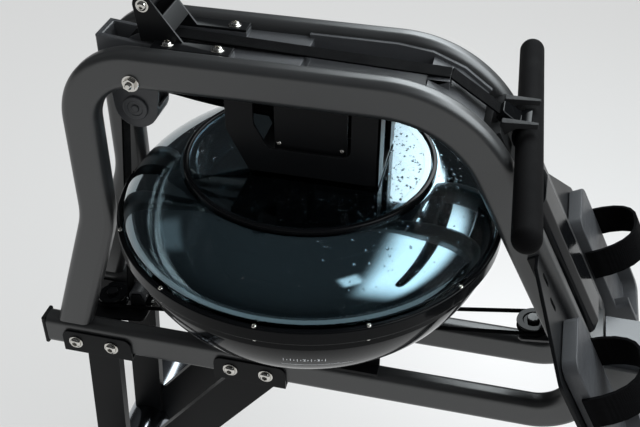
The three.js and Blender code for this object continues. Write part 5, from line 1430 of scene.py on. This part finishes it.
class ROWER_OT_cord_pulleys(RowerStep):
    """Turn the two grooved cord pulleys with their hubs"""

    bl_idname = "rower.cord_pulleys"
    bl_label = "Cord pulleys"

    def execute(self, context):
        along, rise = direction(CORD_SLOPE)
        for name, distance in WHEELS.items():
            centre = place(FRONT_WHEEL[0] + along * distance, 0, FRONT_WHEEL[1] + rise * distance)
            wheel = turned(millimetres(WHEEL), centre, axis=(-rise, 0, along), out=(along, 0, rise), steps=56)
            pulley = f"{name}_cord_pulley"
            fit(shade(wheel, 35), f"{name}_cord_wheel", "gloss", pulley, pulley)
        return {"FINISHED"}


class ROWER_OT_cord(RowerStep):
    """Give the bungee cord a round, braided sheath"""

    bl_idname = "rower.cord"
    bl_label = "Bungee cord"

    def execute(self, context):
        cord = finished_copy("bungee_cord", degrees=80, edge=0)
        fit(cord, "cord_sheath", "braid", "frame", "bungee_cord")
        return {"FINISHED"}


# Seat

CUSHION = {"shrink": (0.975, 0.98, 0.96), "voxel": 5, "held": 4, "pressure": 4, "steps": 20, "fill": 0.8}


class ROWER_OT_cushion(RowerStep):
    """Fill the seat cushion and smooth its cover"""

    bl_idname = "rower.cushion"
    bl_label = "Seat cushion"

    def execute(self, context):
        low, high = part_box("seat_cushion")
        cushion = close_up(loose_copy("seat_cushion"), 0.02 * MM)
        start_edit(cushion)
        foot = ((low.x + high.x) / 2, (low.y + high.y) / 2, low.z)
        bpy.ops.transform.resize(value=CUSHION["shrink"], center_override=foot)
        end_edit()
        voxel = CUSHION["voxel"] * MM
        apply_modifier(cushion, "REMESH", mode="VOXEL", voxel_size=voxel, use_smooth_shade=True)
        self.fill(cushion, low.z)
        apply_modifier(cushion, "SMOOTH", factor=0.5, iterations=4)
        apply_modifier(cushion, "SUBSURF", levels=1, render_levels=1)
        choose(cushion)
        bpy.ops.object.shade_smooth()
        fit(cushion, "seat_cushion_cover", "leather", "seat", "seat_cushion")
        return {"FINISHED"}

    def fill(self, cushion, base_z):
        """Swells the cushion a little, with its flat base held."""
        before = [v.co.copy() for v in cushion.data.vertices]
        group = cushion.vertex_groups.new(name="base")
        held = base_z + CUSHION["held"] * MM
        group.add([v.index for v in cushion.data.vertices if v.co.z < held], 1, "REPLACE")
        cloth = cushion.modifiers.new("Fill", "CLOTH")
        cloth.settings.use_pressure = True
        cloth.settings.uniform_pressure_force = CUSHION["pressure"]
        cloth.settings.effector_weights.gravity = 0
        cloth.settings.vertex_group_mass = "base"
        scene = bpy.context.scene
        for step in range(1, CUSHION["steps"] + 1):
            scene.frame_set(step)
        choose(cushion)
        bpy.ops.object.modifier_apply(modifier=cloth.name)
        scene.frame_set(1)
        cap = sizes().cushion_swell
        for vertex, start in zip(cushion.data.vertices, before):
            swell = vertex.co - start
            if swell.length > cap:
                vertex.co = start + swell.normalized() * cap
            vertex.co.z = max(vertex.co.z, base_z)


# Studio

# The camera: its place in millimetres, how it is turned, dips and rolls in radians, and its lens
CAMERA_PLACE = (247.93, -1009.06, 771.35)
CAMERA_TURN = 0.228585
CAMERA_DIP = 0.646047
CAMERA_ROLL = 0.006445
CAMERA_LENS = 53.67
CAMERA_SENSOR = 36

# Softboxes seen from the tank: azimuth and elevation in degrees, distance, width and height in metres,
# brightness
LAMPS = {
    "back_window": (72, 39, 1.6, 1.6, 0.95, 7.4),
    "right_window": (6, 44, 1.6, 3.0, 1.4, 5.6),
    "front_box": (-44, 58, 1.8, 0.4, 0.34, 3.2),
    "left_fill": (180, 33, 2.2, 1.0, 0.7, 0.3),
}
LAMP_COLOUR = (0.9, 0.97, 1.0)
LAMP_FADE = 0.34
WORLD_COLOUR = (0.94, 0.97, 1)
WORLD_LEVEL = 0.58
WALL_LEVEL = 0.92
# What the room mirrors: from and to these brightnesses between two heights on the unit sphere
MIRRORED = {"low": 0.03, "high": 0.09, "start": 0.35, "end": 0.95}
FLOOR_SIZE = 90
# How much of what is seen of the floor is its own light
FLOOR_OWN_SHARE = 0.72
# Painted pool of light on the floor: its middle from the tank's axis, and its radius, in millimetres
PAINTED_LIGHT_POOL = (292, 442, 900)


class ROWER_OT_studio(RowerStep):
    """Set the floor, the backdrop, the soft lamps and the camera"""

    bl_idname = "rower.studio"
    bl_label = "Studio"

    def execute(self, context):
        self.floor()
        self.lamps()
        self.world()
        self.camera()
        bpy.context.scene.view_settings.view_transform = "Standard"
        return {"FINISHED"}

    def floor(self):
        """A wide pale floor: seen, mirrored or through glass, it shows mostly a colour of its own, with a
        painted pool of light round one spot.
        """
        finish = bpy.data.materials.new("studio_floor")
        finish.use_nodes = True
        tree = finish.node_tree
        shader = tree.nodes["Principled BSDF"]
        for key, value in {"Roughness": 0.8, SHINE: 0.1, "Base Color": rgba(colours().floor)}.items():
            shader.inputs[key].default_value = value
        # Painted pool of light: the floor's own tone grows from the backdrop's to the bright patch's towards
        # one spot
        spot = {
            "Vector": node(tree, "TexCoord").outputs["Object"],
            "Location": (*place(*PAINTED_LIGHT_POOL[:2], 0).xy, 0),
            "Scale": (PAINTED_LIGHT_POOL[2] * MM,) * 3,
        }
        about = node(tree, "Mapping", spot, vector_type="TEXTURE").outputs["Vector"]
        light_pool = node(tree, "TexGradient", {"Vector": about}, gradient_type="QUADRATIC_SPHERE").outputs["Fac"]
        tone = node(tree, "Mix", data_type="RGBA")
        tones = {"Factor": light_pool, "A": rgba(colours().backdrop), "B": rgba(colours().painted_light_pool)}
        for key, value in tones.items():
            feed(tree, tone.inputs[key], value)
        own = node(tree, "Emission", {"Color": tone.outputs["Result"]})
        path = node(tree, "LightPath").outputs
        seen = maths(tree, "MAXIMUM", path["Is Camera Ray"], path["Is Glossy Ray"])
        seen = maths(tree, "MAXIMUM", seen, path["Is Transmission Ray"])
        share = maths(tree, "MULTIPLY", seen, FLOOR_OWN_SHARE)
        mix = node(tree, "MixShader", {0: share, 1: shader.outputs["BSDF"], 2: own.outputs["Emission"]})
        feed(tree, tree.nodes["Material Output"].inputs["Surface"], mix.outputs["Shader"])
        choose()
        bpy.ops.mesh.primitive_plane_add(size=FLOOR_SIZE)
        floor = bpy.context.object
        floor.name = "studio_floor"
        floor.data.materials.append(finish)

    def lamps(self):
        """Softboxes about the tank, each with the brightness that its face has."""
        tank = place(0, 0, 0)
        choose()
        for name, (azimuth, elevation, distance, width, height, brightness) in LAMPS.items():
            level, rise = direction(math.radians(elevation))
            across, along = direction(math.radians(azimuth))
            away = Vector((across * level, along * level, rise))
            bpy.ops.object.light_add(type="AREA", location=tank + away * distance)
            lamp = bpy.context.object
            lamp.name = name
            lamp.data.shape = "RECTANGLE"
            lamp.data.size = width
            lamp.data.size_y = height
            lamp.data.energy = brightness * math.pi * width * height
            lamp.data.color = LAMP_COLOUR
            self.soften(lamp.data)
            lamp.rotation_euler = away.to_track_quat("Z", "Y").to_euler()

    def soften(self, lamp):
        """Fades a softbox out towards its edges."""
        lamp.use_nodes = True
        tree = lamp.node_tree
        face = node(tree, "NewGeometry").outputs["Parametric"]
        across = node(tree, "SeparateXYZ", {"Vector": face}).outputs
        fades = []
        for key in ("X", "Y"):
            off = maths(tree, "ABSOLUTE", maths(tree, "SUBTRACT", across[key], 0.5))
            fades.append(spread(tree, off, 0, 1, 0.5, 0.5 - LAMP_FADE, interpolation_type="SMOOTHERSTEP"))
        feed(tree, tree.nodes["Emission"].inputs["Strength"], maths(tree, "MULTIPLY", *fades))

    def world(self):
        """Even light on matt surfaces, a dark room in what is mirrored, and a pale wall for the camera."""
        world = bpy.data.worlds.new("studio_world")
        bpy.context.scene.world = world
        world.use_nodes = True
        tree = world.node_tree
        path = node(tree, "LightPath").outputs
        apart = node(tree, "SeparateXYZ", {"Vector": node(tree, "TexCoord").outputs["Generated"]}).outputs
        mirrored = spread(tree, apart["Z"], *(MIRRORED[key] for key in ("low", "high", "start", "end")))
        level = node(tree, "Mix", {"Factor": path["Is Glossy Ray"], "A": WORLD_LEVEL, "B": mirrored})
        background = tree.nodes["Background"]
        background.inputs["Color"].default_value = rgba(WORLD_COLOUR)
        feed(tree, background.inputs["Strength"], level.outputs["Result"])
        wall = node(tree, "Background", {"Color": rgba(colours().backdrop), "Strength": WALL_LEVEL})
        sky, wall = background.outputs["Background"], wall.outputs["Background"]
        seen = node(tree, "MixShader", {0: path["Is Camera Ray"], 1: sky, 2: wall})
        feed(tree, tree.nodes["World Output"].inputs["Surface"], seen.outputs["Shader"])

    def camera(self):
        bpy.ops.object.camera_add(location=place(*CAMERA_PLACE))
        camera = bpy.context.object
        turn_across, turn_along = direction(CAMERA_TURN)
        dip_level, dip = direction(CAMERA_DIP)
        ahead = Vector((-turn_along * dip_level, turn_across * dip_level, -dip))
        level = Vector((turn_across, turn_along, 0))
        above = level.cross(ahead)
        roll_across, roll_along = direction(CAMERA_ROLL)
        right = level * roll_across + above * roll_along
        up = above * roll_across - level * roll_along
        camera.rotation_euler = Matrix((right, up, -ahead)).transposed().to_euler()
        camera.data.lens = CAMERA_LENS
        camera.data.sensor_width = CAMERA_SENSOR
        bpy.context.scene.camera = camera


class ROWER_PT_panel(bpy.types.Panel):
    """The steps, the sizes and the colours in the sidebar"""

    bl_idname = "ROWER_PT_panel"
    bl_label = "Water rowing machine"
    bl_space_type = "VIEW_3D"
    bl_region_type = "UI"
    bl_category = "Rower"

    def draw(self, context):
        for step in STEPS:
            self.layout.operator(step.bl_idname)
        for group in (context.scene.rower_sizes, context.scene.rower_colours):
            for key in group.bl_rna.properties.keys():
                if key not in ("rna_type", "name"):
                    self.layout.prop(group, key)


STEPS = (
    ROWER_OT_studio,
    ROWER_OT_finishes,
    ROWER_OT_side_frames,
    ROWER_OT_stabilizer,
    ROWER_OT_stands,
    ROWER_OT_hanger,
    ROWER_OT_housing,
    ROWER_OT_tank,
    ROWER_OT_level_scale,
    ROWER_OT_lid,
    ROWER_OT_drops,
    ROWER_OT_kept_pieces,
    ROWER_OT_screen,
    ROWER_OT_pull_strap,
    ROWER_OT_bolts,
    ROWER_OT_handle,
    ROWER_OT_handle_rest,
    ROWER_OT_cord_pulleys,
    ROWER_OT_cord,
    ROWER_OT_cushion,
)
CLASSES = (RowerSizes, RowerColours, *STEPS, ROWER_PT_panel)


def register():
    for made in CLASSES:
        bpy.utils.register_class(made)
    bpy.types.Scene.rower_sizes = PointerProperty(type=RowerSizes)
    bpy.types.Scene.rower_colours = PointerProperty(type=RowerColours)


def unregister():
    del bpy.types.Scene.rower_colours
    del bpy.types.Scene.rower_sizes
    for made in reversed(CLASSES):
        bpy.utils.unregister_class(made)


def main():
    register()
    for step in STEPS:
        family, name = step.bl_idname.split(".")
        getattr(getattr(bpy.ops, family), name)()
    choose()
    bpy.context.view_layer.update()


if __name__ == "__main__":
    main()
